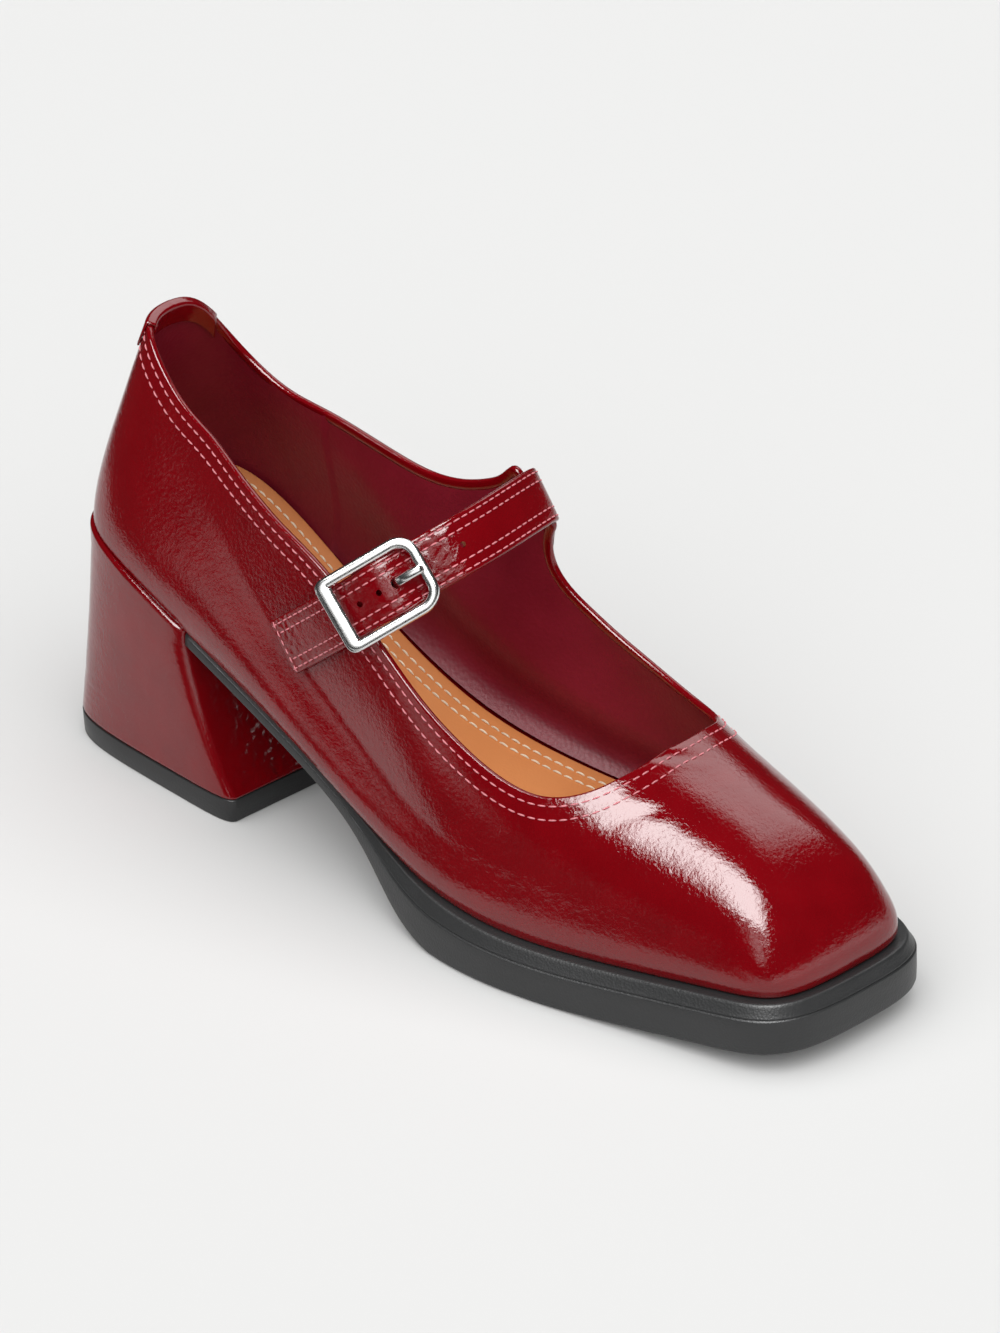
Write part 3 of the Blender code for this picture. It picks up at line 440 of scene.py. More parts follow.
def last_point(station, angle):
    """Point of the last's surface; angle runs from 0 at the feather to 90 on the ridge."""
    station = np.asarray(station, float)
    turn = np.radians(np.clip(angle, 0, RIDGE_ANGLE))
    rows = spline_closed(LAST, station)
    foot = feather(station)
    ridge_x = rows[..., LAST_RIDGE] * SHOE_LENGTH
    ridge = np.stack([ridge_x, profile(ridge_x, PROFILE_CENTRE) * BALL_WIDTH], -1)
    reach = np.clip(np.cos(turn), 0, 1) ** (2 / WALL_POWER)
    rise = np.sin(turn) ** (2 / CROWN_POWER)
    plan_x = ridge_x + (foot[..., 0] - ridge_x) * reach
    seat = bottom_height(foot[..., 0])
    crown = bottom_height(plan_x) + INSTEP_HEIGHT * profile(plan_x, PROFILE_CROWN)
    height = (crown - seat) * rise
    reach = reach * (1 - rows[..., LAST_LEAN] * (height / COUNTER_HEIGHT) ** LEAN_POWER)
    plan = ridge + (foot - ridge) * reach[..., None]
    part = np.clip(height / (BULGE_RISE + BULGE_SHARE * (crown - seat)), 0, 1)
    swell = BULGE_RISE * rows[..., LAST_BULGE] * BULGE_CREST * part * (1 - part) ** 2
    plan = plan + outward(station) * swell[..., None]
    return np.concatenate([plan, (seat + height)[..., None]], -1)


def last_normal(station, angle):
    """Outward normal of the last's surface."""
    step = 1e-3
    across = last_point(station + step, angle) - last_point(station - step, angle)
    up = last_point(station, angle + 10 * step) - last_point(station, angle - 10 * step)
    return unit(np.cross(across, up))


# How near points may lie before they are joined: along a piece's seams, where ribs
# meet on the upper's ridge, and in small pieces such as stitches. Shorter edges than
# the last are dissolved.
SEAM_MERGE = 2e-6
RIDGE_MERGE = 8e-6
STITCH_MERGE = 1e-8
EDGE_MERGE = 1e-7


def new_piece(name, points, faces, finish, merge=SEAM_MERGE):
    """Smooth-shaded piece from points counted from the heel's back, riding on the shoe."""
    shift = np.array([HEEL_FOOT_LENGTH / 2, 0.0, 0.0])
    mesh = bpy.data.meshes.new(name)
    mesh.from_pydata((np.asarray(points) - shift).tolist(), [], [tuple(f) for f in faces])
    work = bmesh.new()
    work.from_mesh(mesh)
    bmesh.ops.remove_doubles(work, verts=work.verts, dist=merge)
    bmesh.ops.dissolve_degenerate(work, edges=work.edges, dist=EDGE_MERGE)
    bmesh.ops.recalc_face_normals(work, faces=work.faces)
    work.to_mesh(mesh)
    work.free()
    mesh.shade_smooth()
    if finish is not None:
        mesh.materials.append(finish)
    piece = bpy.data.objects.new(name, mesh)
    bpy.context.scene.collection.objects.link(piece)
    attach(piece, "root")
    return piece


def sheet_faces(rows, columns, closed_rows=False, closed_columns=False):
    """Quads of a grid of points; rows and columns may each run round."""
    row = np.arange(rows if closed_rows else rows - 1)
    column = np.arange(columns if closed_columns else columns - 1)
    r, c = np.meshgrid(row, column, indexing="ij")
    r2, c2 = (r + 1) % rows, (c + 1) % columns
    quads = np.stack([r * columns + c, r2 * columns + c, r2 * columns + c2, r * columns + c2], -1)
    return quads.reshape(-1, 4).tolist()


def topline_rows(table, places):
    """Smooth rows of a topline table, carried on past the throat and the back seam."""
    front = (2 * table[0][0] - table[1][0], 2 * table[0][1] - table[1][1], 2 * RIDGE_ANGLE - table[1][2])
    back = (-table[-2][0], -table[-2][1], table[-2][2])
    return spline_open(table, places, before=front, after=back)


def travel_along(points):
    """Distance from a line's first point to each of its points."""
    steps = np.linalg.norm(np.diff(points, axis=0), axis=1)
    return np.concatenate([[0.0], np.cumsum(steps)])


def points_at(points, travel, places):
    """Points of a line at distances along it."""
    return np.stack([np.interp(places, travel, points[:, k]) for k in range(3)], -1)


# Ribs are spaced by the topline and, with less weight, by the feather line.
FEATHER_WEIGHT = 0.4
TOPLINE_SAMPLES = 2000


def even_ribs(table, count):
    """Ribs of one side, throat to back seam, at an even pace along the topline."""
    fine = np.linspace(0, len(table) - 1, TOPLINE_SAMPLES)
    rows = topline_rows(table, fine)
    travel = travel_along(last_point(rows[:, 1], rows[:, 2]))
    travel = travel + FEATHER_WEIGHT * travel_along(feather(rows[:, 0]))
    places = np.interp(np.linspace(0, travel[-1], count), travel, fine)
    return topline_rows(table, places)


OUTER_RIBS = 230
INNER_RIBS = 260
VAMP_RIBS = 95
UPPER_LEVELS = 110
RIB_SAMPLES = 401
RIDGE_LIMIT = 89.5


def upper_ribs():
    """Ribs once round the shoe: foot station, top station, top angle, side."""
    outer = even_ribs(OUTER_TOPLINE, OUTER_RIBS)
    inner = even_ribs(INNER_TOPLINE, INNER_RIBS)
    foot = (outer[0, 0] + inner[0, 0]) / 2
    top = (outer[0, 1] + inner[0, 1]) / 2
    share = np.linspace(0, 1, VAMP_RIBS + 1)
    ridge = np.full_like(share, RIDGE_ANGLE)
    vamp = np.stack([foot + (TOE_STATION - foot) * share, top + (TOE_STATION - top) * share, ridge], -1)
    outer_side = np.concatenate([outer[::-1][:-1], vamp])
    inner_side = np.concatenate([vamp[::-1][1:], inner[1:-1]])
    rows = np.concatenate([outer_side, inner_side])
    sides = np.concatenate([-np.ones(len(outer_side)), np.ones(len(inner_side))])
    return rows, sides


def on_side(station, side):
    """The same station counted from the back seam along the outer or the inner side."""
    return station if side < 0 else STATIONS - station


def upper_sheet(levels):
    """Outer face of the upper and its normals, ribs by levels, each rib evenly spaced."""
    rows, sides = upper_ribs()
    turn = np.linspace(0, 1, RIB_SAMPLES)
    turn = (1 - np.cos(turn * math.pi)) / 2
    sheet, facing = [], []
    for (foot, top, angle), side in zip(rows, sides):
        stations = foot + (top - foot) * turn**RIB_LEAN_POWER
        stations = on_side(stations, side)
        rib = last_point(stations, angle * turn)
        travel = travel_along(rib)
        even = np.linspace(0, travel[-1], levels + 1)
        sheet.append(points_at(rib, travel, even))
        angles = np.minimum(np.interp(even, travel, angle * turn), RIDGE_LIMIT)
        facing.append(last_normal(np.interp(even, travel, stations), angles))
    return np.array(sheet), np.array(facing), rows, sides


def grid_normals(sheet):
    """Outward normals of the sheet, shared where ribs meet on the ridge."""
    ribs, levels, _ = sheet.shape
    keys = np.round(sheet.reshape(-1, 3), 6)
    _, group = np.unique(keys, axis=0, return_inverse=True)
    group = group.reshape(-1)
    quads = np.array(sheet_faces(ribs, levels, closed_rows=True))
    flat = sheet.reshape(-1, 3)
    area = np.cross(flat[quads[:, 2]] - flat[quads[:, 0]], flat[quads[:, 3]] - flat[quads[:, 1]])
    total = np.zeros((group.max() + 1, 3))
    for k in range(4):
        np.add.at(total, group[quads[:, k]], area)
    return unit(total[group]).reshape(sheet.shape)


sheet, facing, rib_rows, rib_sides = upper_sheet(UPPER_LEVELS)
# Ribs of the quarters, which end at the topline before they reach the ridge.
open_ribs = rib_rows[:, 2] < RIDGE_ANGLE - 1e-3

# Easing of the toe: shares of a rib over which it sets in above the feather line and
# fades out before the ridge, ribs over which it fades out by the throat, and passes.
TOE_EASE_START = 0.25
TOE_EASE_END = 0.15
TOE_EASE_FADE = 30
TOE_EASE_STEPS = 160


def ease_toe(sheet):
    """The leather bridges the toe's corners a little, more so away from the feather line."""
    eased = sheet.copy()
    vamp = np.flatnonzero(~open_ribs)
    level = np.linspace(0, 1, sheet.shape[1])
    hold = np.clip(level / TOE_EASE_START, 0, 1) * np.clip((1 - level) / TOE_EASE_END, 0, 1)
    from_end = np.minimum(np.arange(len(vamp)), np.arange(len(vamp))[::-1]) / TOE_EASE_FADE
    share = 0.5 * hold[None, :, None] * np.clip(from_end, 0, 1)[:, None, None]
    for _ in range(TOE_EASE_STEPS):
        part = eased[vamp]
        middle = part.copy()
        middle[1:-1] = (part[:-2] + part[2:]) / 2
        eased[vamp] = part + (middle - part) * share
    return eased


sheet = ease_toe(sheet)
normals = grid_normals(sheet)
normals[open_ribs] = facing[open_ribs]
rim_points = sheet[:, -1]
rim_normals = normals[:, -1]

# Creases that the last and the foot's bend leave in the leather, each a line on the
# upper: side is -1 outer, 1 inner, 0 across the vamp (where a row's height is ignored).
CREASES = (
    # side, x0, y0, z0, x1, y1, z1, width, depth
    (0, 0.166, -0.018, 0, 0.181, -0.004, 0, 0.0016, 0.00019),
    (0, 0.163, -0.008, 0, 0.177, 0.008, 0, 0.0014, 0.00017),
    (0, 0.172, -0.002, 0, 0.186, 0.014, 0, 0.0018, 0.00021),
    (0, 0.164, 0.006, 0, 0.176, 0.024, 0, 0.0016, 0.00019),
    (0, 0.179, 0.004, 0, 0.190, 0.021, 0, 0.0015, 0.00015),
    (0, 0.158, -0.020, 0, 0.169, -0.010, 0, 0.0013, 0.00015),
    (0, 0.185, -0.012, 0, 0.196, 0.001, 0, 0.0016, 0.00015),
    (0, 0.154, 0.014, 0, 0.166, 0.031, 0, 0.0015, 0.00017),
    (1, 0.066, 0.033, 0.084, 0.083, 0.040, 0.062, 0.0015, 0.00016),
    (1, 0.074, 0.033, 0.086, 0.090, 0.040, 0.066, 0.0014, 0.00015),
    (1, 0.060, 0.033, 0.080, 0.074, 0.040, 0.060, 0.0014, 0.00014),
    (1, 0.083, 0.033, 0.082, 0.099, 0.040, 0.062, 0.0015, 0.00013),
    (1, 0.068, 0.033, 0.072, 0.086, 0.040, 0.078, 0.0012, 0.00010),
    (1, 0.078, 0.033, 0.066, 0.095, 0.040, 0.072, 0.0012, 0.00010),
    (1, 0.090, 0.033, 0.076, 0.104, 0.040, 0.058, 0.0013, 0.00010),
    (1, 0.054, 0.030, 0.074, 0.066, 0.036, 0.056, 0.0013, 0.00010),
)
# A crease is a soft trough with a lower ridge beside it, which stands off by a share
# of its width. Those across the vamp reach down to VAMP_CREASE_FOOT.
CREASE_RIDGE = 0.55
CREASE_RIDGE_AWAY = 1.9
CREASE_BLUNTNESS = 0.8
VAMP_CREASE_FOOT = 0.03
GRAIN_AMOUNT = 0.000016
CRACKLE_AMOUNT = 0.00012


def segment_distance(points, start, end):
    """Distance of points from a straight line, and the share of the way along it."""
    run = end - start
    share = np.clip((points - start) @ run / (run @ run), 0, 1)
    return np.linalg.norm(points - start - share[:, None] * run, axis=1), share


def creases_at(points, side):
    """Depth that the creases add at points of the upper."""
    depth = np.zeros(len(points))
    for row in CREASES:
        start, end = np.array(row[1:4]), np.array(row[4:7])
        width, amount = row[7], row[8]
        flat = points.copy()
        if row[0] == 0:
            flat[:, 2] = 0.0
            part = points[:, 2] > VAMP_CREASE_FOOT
        else:
            flat[:, 1] = 0.0
            start[1] = end[1] = 0.0
            part = side == row[0]
        away, share = segment_distance(flat, start, end)
        bend = np.sin(share * math.pi) ** CREASE_BLUNTNESS
        trough = np.exp(-((away / width) ** 2))
        ridge = np.exp(-((away / width - CREASE_RIDGE_AWAY) ** 2))
        depth += np.where(part, amount * bend * (CREASE_RIDGE * ridge - trough), 0.0)
    return depth


# Places where the quarter is crumpled by the strap's seam and by the arch.
CRUMPLED = (
    # centre, reach, amount
    ((0.112, 0.045, 0.060), (0.032, 0.030, 0.022), 1.0),
    ((0.140, 0.050, 0.034), (0.030, 0.030, 0.014), 0.6),
    ((0.075, 0.035, 0.075), (0.026, 0.030, 0.020), 0.5),
    ((0.160, -0.030, 0.030), (0.030, 0.020, 0.014), 0.35),
)
# The fine crackle is full up to CRACKLE_FULL of the reach and then fades out.
CRACKLE_FULL = 0.3
CRACKLE_FADE = 1.5
WAVE_SCALE = (210.0, 210.0, 210.0)
FINE_SCALE = (520.0, 520.0, 380.0)
FINE_SHARPNESS = 2.6
WAVE_SHARE = 0.6


def crackle_at(points, centre, reach):
    """Share of the fine crackle round a place, fading out with distance."""
    away = np.linalg.norm((points - np.array(centre)) / np.array(reach), axis=1)
    return np.clip(1 + CRACKLE_FULL - away, 0, 1) ** CRACKLE_FADE


def noise_at(points, scale):
    """Noise between -1 and 1 at points, with a scale along each axis."""
    return np.array([noise.noise(Vector(p)) for p in points * np.array(scale)])


def leather_relief(points, side):
    """Height of the crinkled leather over the last, in metres."""
    crackle = sum(weight * crackle_at(points, centre, reach) for centre, reach, weight in CRUMPLED)
    wave = noise_at(points, WAVE_SCALE)
    ridge = 1 - FINE_SHARPNESS * np.abs(noise_at(points, FINE_SCALE))
    fine = GRAIN_AMOUNT * wave + CRACKLE_AMOUNT * crackle * (ridge + WAVE_SHARE * wave)
    return creases_at(points, side) + fine


# Strip along the topline in which the relief fades out.
RIM_SMOOTH = 0.004

flat_points = sheet.reshape(-1, 3)
side_of = np.repeat(rib_sides, UPPER_LEVELS + 1)
relief = leather_relief(flat_points, side_of).reshape(sheet.shape[:2])
from_rim = np.linspace(1, 0, UPPER_LEVELS + 1)[None, :]
rib_length = np.linalg.norm(np.diff(sheet, axis=1), axis=2).sum(1)
edge_fade = np.clip(from_rim * rib_length[:, None] / RIM_SMOOTH, 0, 1)
edge_fade[~open_ribs] = 1.0
dressed = sheet + normals * (relief * edge_fade)[..., None]

# Folded edge of the topline: how high it rounds over the wall as a share of the wall's
# half thickness, how far its lip hangs inside, and how the lip turns into the lining.
# A point above the rim's middle tells which way is up.
FOLD_STEPS = 7
FOLD_RISE = 0.55
FOLD_LIP = 0.0021
LIP_TUCK = 0.0001
LIP_TURN = 0.0003
ABOVE_RIM = (0.0, 0.0, 0.06)


def rim_frame():
    """Topline points in order round the opening, with surface normal and upward way."""
    order = np.flatnonzero(open_ribs)
    split = int(np.argmax(np.diff(order) > 1)) + 1
    order = np.concatenate([order[split:], order[:split]])
    points, face = rim_points[order], rim_normals[order]
    ahead = np.roll(points, -1, axis=0) - np.roll(points, 1, axis=0)
    up = unit(np.cross(unit(ahead), face))
    inside = points.mean(axis=0) + np.array(ABOVE_RIM)
    flip = np.sign(np.sum(up * (inside - points), axis=1))
    if np.median(flip) < 0:
        up = -up
    return points, face, up


topline, topline_face, topline_up = rim_frame()
fold_radius = UPPER_WALL / 2
fold = []
for step in range(1, FOLD_STEPS + 1):
    turn = math.pi * step / FOLD_STEPS
    inward = topline_face * fold_radius * (math.cos(turn) - 1)
    fold.append(topline + inward + topline_up * fold_radius * FOLD_RISE * math.sin(turn))
lip = fold[-1]
fold.append(lip - topline_up * FOLD_LIP * 0.5)
fold.append(lip - topline_up * FOLD_LIP + topline_face * LIP_TUCK)
fold.append(fold[-1] + topline_face * LIP_TURN)
ring = np.stack([topline, *fold], 1)


def new_group(name, inputs, outputs):
    """New shader group with its sockets, its end nodes and the object's coordinates."""
    group = bpy.data.node_groups.new(name, "ShaderNodeTree")
    for label, value in inputs:
        socket = group.interface.new_socket(label, in_out="INPUT", socket_type="NodeSocketFloat")
        socket.default_value = value
    for label, kind in outputs:
        group.interface.new_socket(label, in_out="OUTPUT", socket_type=kind)
    nodes = group.nodes
    enter = nodes.new("NodeGroupInput")
    leave = nodes.new("NodeGroupOutput")
    place = nodes.new("ShaderNodeTexCoord").outputs["Object"]
    return group, enter, leave, place


def new_node(nodes, kind, values):
    """New node with its named inputs set."""
    node = nodes.new(kind)
    set_inputs(node, values)
    return node


def crinkle_group():
    """Shader group: the fine crinkle of patent leather as a bump normal and a tone mask."""
    group, enter, leave, place = new_group(
        "patent_crinkle",
        (("Crinkle", 0.5), ("Pebble", 0.3), ("Size", 1.0)),
        (("Normal", "NodeSocketVector"), ("Tone", "NodeSocketFloat")),
    )
    nodes, links = group.nodes, group.links
    scaled = nodes.new("ShaderNodeVectorMath")
    scaled.operation = "SCALE"
    links.new(place, scaled.inputs[0])
    links.new(enter.outputs["Size"], scaled.inputs["Scale"])
    drawn = nodes.new("ShaderNodeVectorMath")
    drawn.operation = "MULTIPLY"
    drawn.inputs[1].default_value = (1.0, 0.35, 1.0)
    links.new(scaled.outputs[0], drawn.inputs[0])
    pebble = new_node(nodes, "ShaderNodeTexNoise", {"Scale": 430.0, "Detail": 3.0})
    links.new(drawn.outputs[0], pebble.inputs["Vector"])
    crinkle = new_node(
        nodes, "ShaderNodeTexNoise", {"Scale": 1000.0, "Detail": 4.0, "Roughness": 0.6, "Distortion": 0.6}
    )
    links.new(scaled.outputs[0], crinkle.inputs["Vector"])
    broad = new_node(nodes, "ShaderNodeTexNoise", {"Scale": 95.0, "Detail": 2.0})
    links.new(scaled.outputs[0], broad.inputs["Vector"])
    first = new_node(nodes, "ShaderNodeBump", {"Distance": 0.00022})
    links.new(enter.outputs["Pebble"], first.inputs["Strength"])
    links.new(pebble.outputs["Fac"], first.inputs["Height"])
    second = new_node(nodes, "ShaderNodeBump", {"Distance": 0.00014})
    links.new(enter.outputs["Crinkle"], second.inputs["Strength"])
    links.new(crinkle.outputs["Fac"], second.inputs["Height"])
    links.new(first.outputs["Normal"], second.inputs["Normal"])
    links.new(second.outputs["Normal"], leave.inputs["Normal"])
    links.new(broad.outputs["Fac"], leave.inputs["Tone"])
    return group


patent_crinkle = crinkle_group()


def tone_between(nodes, links, mask, tones, marks=(0.0, 1.0)):
    """Colour that runs from a dark to a light tone between two marks of a mask."""
    ramp = nodes.new("ShaderNodeValToRGB")
    for element, mark, tone in zip(ramp.color_ramp.elements, marks, tones):
        element.position = mark
        element.color = (*tone, 1.0)
    links.new(mask, ramp.inputs["Fac"])
    return ramp.outputs["Color"]


LACQUER_ROUGHNESS = 0.045
LACQUER_IOR = 1.56
PATENT_TONES = ((0.148, 0.0005, 0.0026), (0.170, 0.0008, 0.0032))


def patent(name, crinkle=0.5, pebble=0.3, size=1.0):
    """Crinkled red patent leather with its hard gloss lacquer."""
    made, nodes, links, shader = new_paint(name)
    set_inputs(shader, {"Roughness": LACQUER_ROUGHNESS, "IOR": LACQUER_IOR})
    effect = nodes.new("ShaderNodeGroup")
    effect.node_tree = patent_crinkle
    set_inputs(effect, {"Crinkle": crinkle, "Pebble": pebble, "Size": size})
    links.new(effect.outputs["Normal"], shader.inputs["Normal"])
    tone = tone_between(nodes, links, effect.outputs["Tone"], PATENT_TONES, marks=(0.32, 0.70))
    links.new(tone, shader.inputs["Base Color"])
    return made


patent_red = patent("patent_leather_red")


def make_upper():
    ribs, levels, _ = dressed.shape
    points = dressed.reshape(-1, 3)
    faces = sheet_faces(ribs, levels, closed_rows=True)
    base = len(points)
    around, steps, _ = ring.shape
    faces += (np.array(sheet_faces(around, steps, closed_rows=True)) + base).tolist()
    under = dressed[:, 0] - normals[:, 0] * UPPER_WALL
    under[:, 2] = bottom_height(under[:, 0]) + GAP / 2
    tuck_base = base + around * steps
    for i in range(ribs):
        k = (i + 1) % ribs
        faces.append([i * levels, tuck_base + i, tuck_base + k, k * levels])
    points = np.concatenate([points, ring.reshape(-1, 3), under])
    piece = new_piece("upper_leather", points, faces, patent_red, merge=RIDGE_MERGE)
    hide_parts("upper")


make_upper()

# Lining
# Smooth burgundy leather glued inside the quarters and the vamp, sewn in under the
# topline. One upright seam joins its pieces on each side.

LINING_LEVELS = 44
LINING_INSET = UPPER_WALL - 0.0001
LINING_DROP = 0.00033
LINING_RISE = 0.0004
# Upright seams: the side and the station where the front piece laps over the back one.
LINING_SEAMS = ((-1, 4.0), (1, 4.0))
STATION_LENGTH = 0.012
LAP_STEP = 0.0004
LAP_DEPTH = 0.0007
LAP_WIDTH = 0.008
LINING_TONES = ((0.160, 0.0034, 0.0130), (0.200, 0.0050, 0.0180))


def grain_group():
    """Shader group: fine leather or moulded grain as a bump normal and a mottle mask."""
    group, enter, leave, place = new_group(
        "fine_grain",
        (("Grain", 0.3), ("Scale", 900.0), ("Mottle Scale", 60.0)),
        (("Normal", "NodeSocketVector"), ("Mottle", "NodeSocketFloat")),
    )
    nodes, links = group.nodes, group.links
    cells = nodes.new("ShaderNodeTexVoronoi")
    links.new(place, cells.inputs["Vector"])
    links.new(enter.outputs["Scale"], cells.inputs["Scale"])
    cloud = new_node(nodes, "ShaderNodeTexNoise", {"Detail": 5.0})
    links.new(place, cloud.inputs["Vector"])
    links.new(enter.outputs["Mottle Scale"], cloud.inputs["Scale"])
    bump = new_node(nodes, "ShaderNodeBump", {"Distance": 0.0002})
    links.new(enter.outputs["Grain"], bump.inputs["Strength"])
    links.new(cells.outputs["Distance"], bump.inputs["Height"])
    links.new(bump.outputs["Normal"], leave.inputs["Normal"])
    links.new(cloud.outputs["Fac"], leave.inputs["Mottle"])
    return group


fine_grain = grain_group()


def rough_between(nodes, links, mask, low, high):
    """Roughness that runs between two values over a mask."""
    spread = new_node(nodes, "ShaderNodeMapRange", {"To Min": low, "To Max": high})
    links.new(mask, spread.inputs["Value"])
    return spread.outputs["Result"]


def grained(name, tones, roughness, grain=0.3, scale=900.0, mottle=60.0, gloss=0.5):
    """Leather, thread or rubber with a fine grain and slightly uneven colour."""
    made, nodes, links, shader = new_paint(name)
    set_inputs(shader, {"Specular IOR Level": gloss})
    effect = nodes.new("ShaderNodeGroup")
    effect.node_tree = fine_grain
    set_inputs(effect, {"Grain": grain, "Scale": scale, "Mottle Scale": mottle})
    links.new(effect.outputs["Normal"], shader.inputs["Normal"])
    cloud = effect.outputs["Mottle"]
    links.new(tone_between(nodes, links, cloud, tones, marks=(0.30, 0.72)), shader.inputs["Base Color"])
    wear = rough_between(nodes, links, cloud, roughness - 0.05, roughness + 0.07)
    links.new(wear, shader.inputs["Roughness"])
    return made


lining_leather = grained("lining_leather_burgundy", LINING_TONES, 0.46, gloss=0.25)


def make_lining():
    take = np.linspace(0, UPPER_LEVELS, LINING_LEVELS + 1).round().astype(int)
    skin, face = sheet[:, take], normals[:, take]
    inset = np.full(skin.shape[:2], LINING_INSET)
    for seam_side, station in LINING_SEAMS:
        ahead = (rib_rows[:, 0] - station) * STATION_LENGTH
        lap = np.clip(0.5 - ahead / LAP_STEP, 0, 1) * np.exp(-((ahead / LAP_WIDTH) ** 2))
        inset += (lap * (rib_sides == seam_side) * LAP_DEPTH)[:, None]
    points = skin - face * inset[..., None]
    climb = unit(points[:, -1] - points[:, -2])
    points[:, -1] -= climb * LINING_DROP * open_ribs[:, None]
    points[:, 0, 2] = np.maximum(points[:, 0, 2], bottom_height(points[:, 0, 0]) + LINING_RISE)
    faces = sheet_faces(len(sheet), LINING_LEVELS + 1, closed_rows=True)
    new_piece("upper_lining", points.reshape(-1, 3), faces, lining_leather, merge=RIDGE_MERGE)


make_lining()

# Topline stitching
# Two rows of pink thread round the whole topline, close to the folded edge and a
# little below it, each stitch sunk a little into the leather.

THREAD_RADIUS = 0.00022
STITCH_PITCH = 0.0027
STITCH_LENGTH = 0.0020
TOPLINE_ROWS = (0.0019, 0.0052)
ROW_SMOOTHING = 3
PINK = (0.72, 0.22, 0.25)
# Each stitch rises in an arch and thins towards the ends, which sink into the leather;
# rise, sink and end are shares of the thread's radius.
STITCH_SIDES = 6
STITCH_STEPS = 5
STITCH_RISE = 0.85
STITCH_SINK = 0.25
STITCH_END = 0.55

skin_tree = BVHTree.FromPolygons(
    [tuple(p) for p in dressed.reshape(-1, 3)],
    [tuple(f) for f in sheet_faces(len(dressed), UPPER_LEVELS + 1, closed_rows=True)],
)


def on_skin(point):
    """Nearest place on the upper's outer face, and its outward direction."""
    place, face, _, _ = skin_tree.find_nearest(Vector(point))
    return np.array(place), np.array(face)


def run_of(points, closed):
    """Direction of a line at each of its points."""
    ahead = np.roll(points, -1, axis=0) - np.roll(points, 1, axis=0)
    if not closed:
        ahead[0] = points[1] - points[0]
        ahead[-1] = points[-1] - points[-2]
    return unit(ahead)


def resample(points, pitch, closed):
    """Points at an even pitch along a line."""
    line = np.vstack([points, points[:1]]) if closed else np.asarray(points)
    travel = travel_along(line)
    count = max(int(round(travel[-1] / pitch)), 1)
    places = np.linspace(0, travel[-1], count + 1)
    if closed:
        places = places[:-1]
    return points_at(line, travel, places)


def skin_over(sections, closed=False):
    """Points and faces of a body lofted over closed sections, with capped ends."""
    count = len(sections[0])
    faces = sheet_faces(len(sections), count, closed_rows=closed, closed_columns=True)
    if not closed:
        faces.append(list(range(count)))
        faces.append(list(range((len(sections) - 1) * count, len(sections) * count)))
    return np.concatenate(sections), faces


def stitch_rings(mark, run, face, length, radius):
    """Rings of points of one stitch, from end to end."""
    across = unit(np.cross(run, face))
    up = np.cross(across, run)
    rings = []
    for share in np.linspace(0, 1, STITCH_STEPS):
        arch = math.sin(share * math.pi)
        lift = radius * (STITCH_RISE * max(arch, 0.0) ** 0.6 - STITCH_SINK)
        girth = radius * (STITCH_END + (1 - STITCH_END) * max(arch, 0.0) ** 0.5)
        middle = mark + run * (share - 0.5) * length + up * lift
        turns = 2 * math.pi * np.arange(STITCH_SIDES) / STITCH_SIDES
        rings.append(middle + (np.outer(np.cos(turns), across) + np.outer(np.sin(turns), up)) * girth)
    return rings


def stitch_mesh(lines, pitch=STITCH_PITCH, length=STITCH_LENGTH, radius=THREAD_RADIUS):
    """Points and faces of separate stitches; a line is (points, face directions, closed)."""
    points, faces = [], []
    for places, face_of, closed in lines:
        marks = resample(places, pitch, closed)
        for mark, run in zip(marks, run_of(marks, closed)):
            base = len(points) * STITCH_SIDES
            rings = stitch_rings(mark, run, face_of(mark), length, radius)
            _, ring_faces = skin_over(rings)
            faces += [[base + corner for corner in ring_face] for ring_face in ring_faces]
            points += rings
    return np.concatenate(points), faces


def thread(name, colour):
    """Twisted sewing thread."""
    shade = tuple(part * 0.75 for part in colour)
    return grained(name, (shade, colour), 0.6, grain=0.5, scale=2600.0)


pink_thread = thread("thread_pink", PINK)


def quarter_face(point):
    return on_skin(point)[1]


def topline_line(below):
    """Line on the leather at a distance below the folded edge."""
    rows = np.array([on_skin(place)[0] for place in topline - topline_up * below])
    for _ in range(ROW_SMOOTHING):
        rows = (np.roll(rows, 1, axis=0) + 2 * rows + np.roll(rows, -1, axis=0)) / 4
    return rows


topline_lines = [(topline_line(below), quarter_face, True) for below in TOPLINE_ROWS]
points, faces = stitch_mesh(topline_lines)
new_piece("topline_stitches", points, faces, pink_thread, merge=STITCH_MERGE)

# Back tab
# Short strip of the same patent leather, folded over the topline at the back seam and
# caught down by the topline's stitching.

BACK_TAB_DEPTH = 0.0060
BACK_TAB_THICKNESS = 0.0006
BACK_TAB_REST = 0.00012
BACK_TAB_SPAN = 1.55
BACK_TAB_SECTIONS = 41
BACK_TAB_INNER_SHARE = 0.8
RIM_SAMPLES = 400
BACK_TAB_CORNER = 0.00035
# Largest share of an edge that one rounded corner takes.
CORNER_SHARE = 0.45


def rim_angle(station, side):
    """Angle of the topline at a station of the quarters."""
    table = OUTER_TOPLINE if side < 0 else INNER_TOPLINE
    rows = topline_rows(table, np.linspace(0, len(table) - 1, RIM_SAMPLES))[::-1]
    return np.interp(station, rows[:, 1], rows[:, 2])


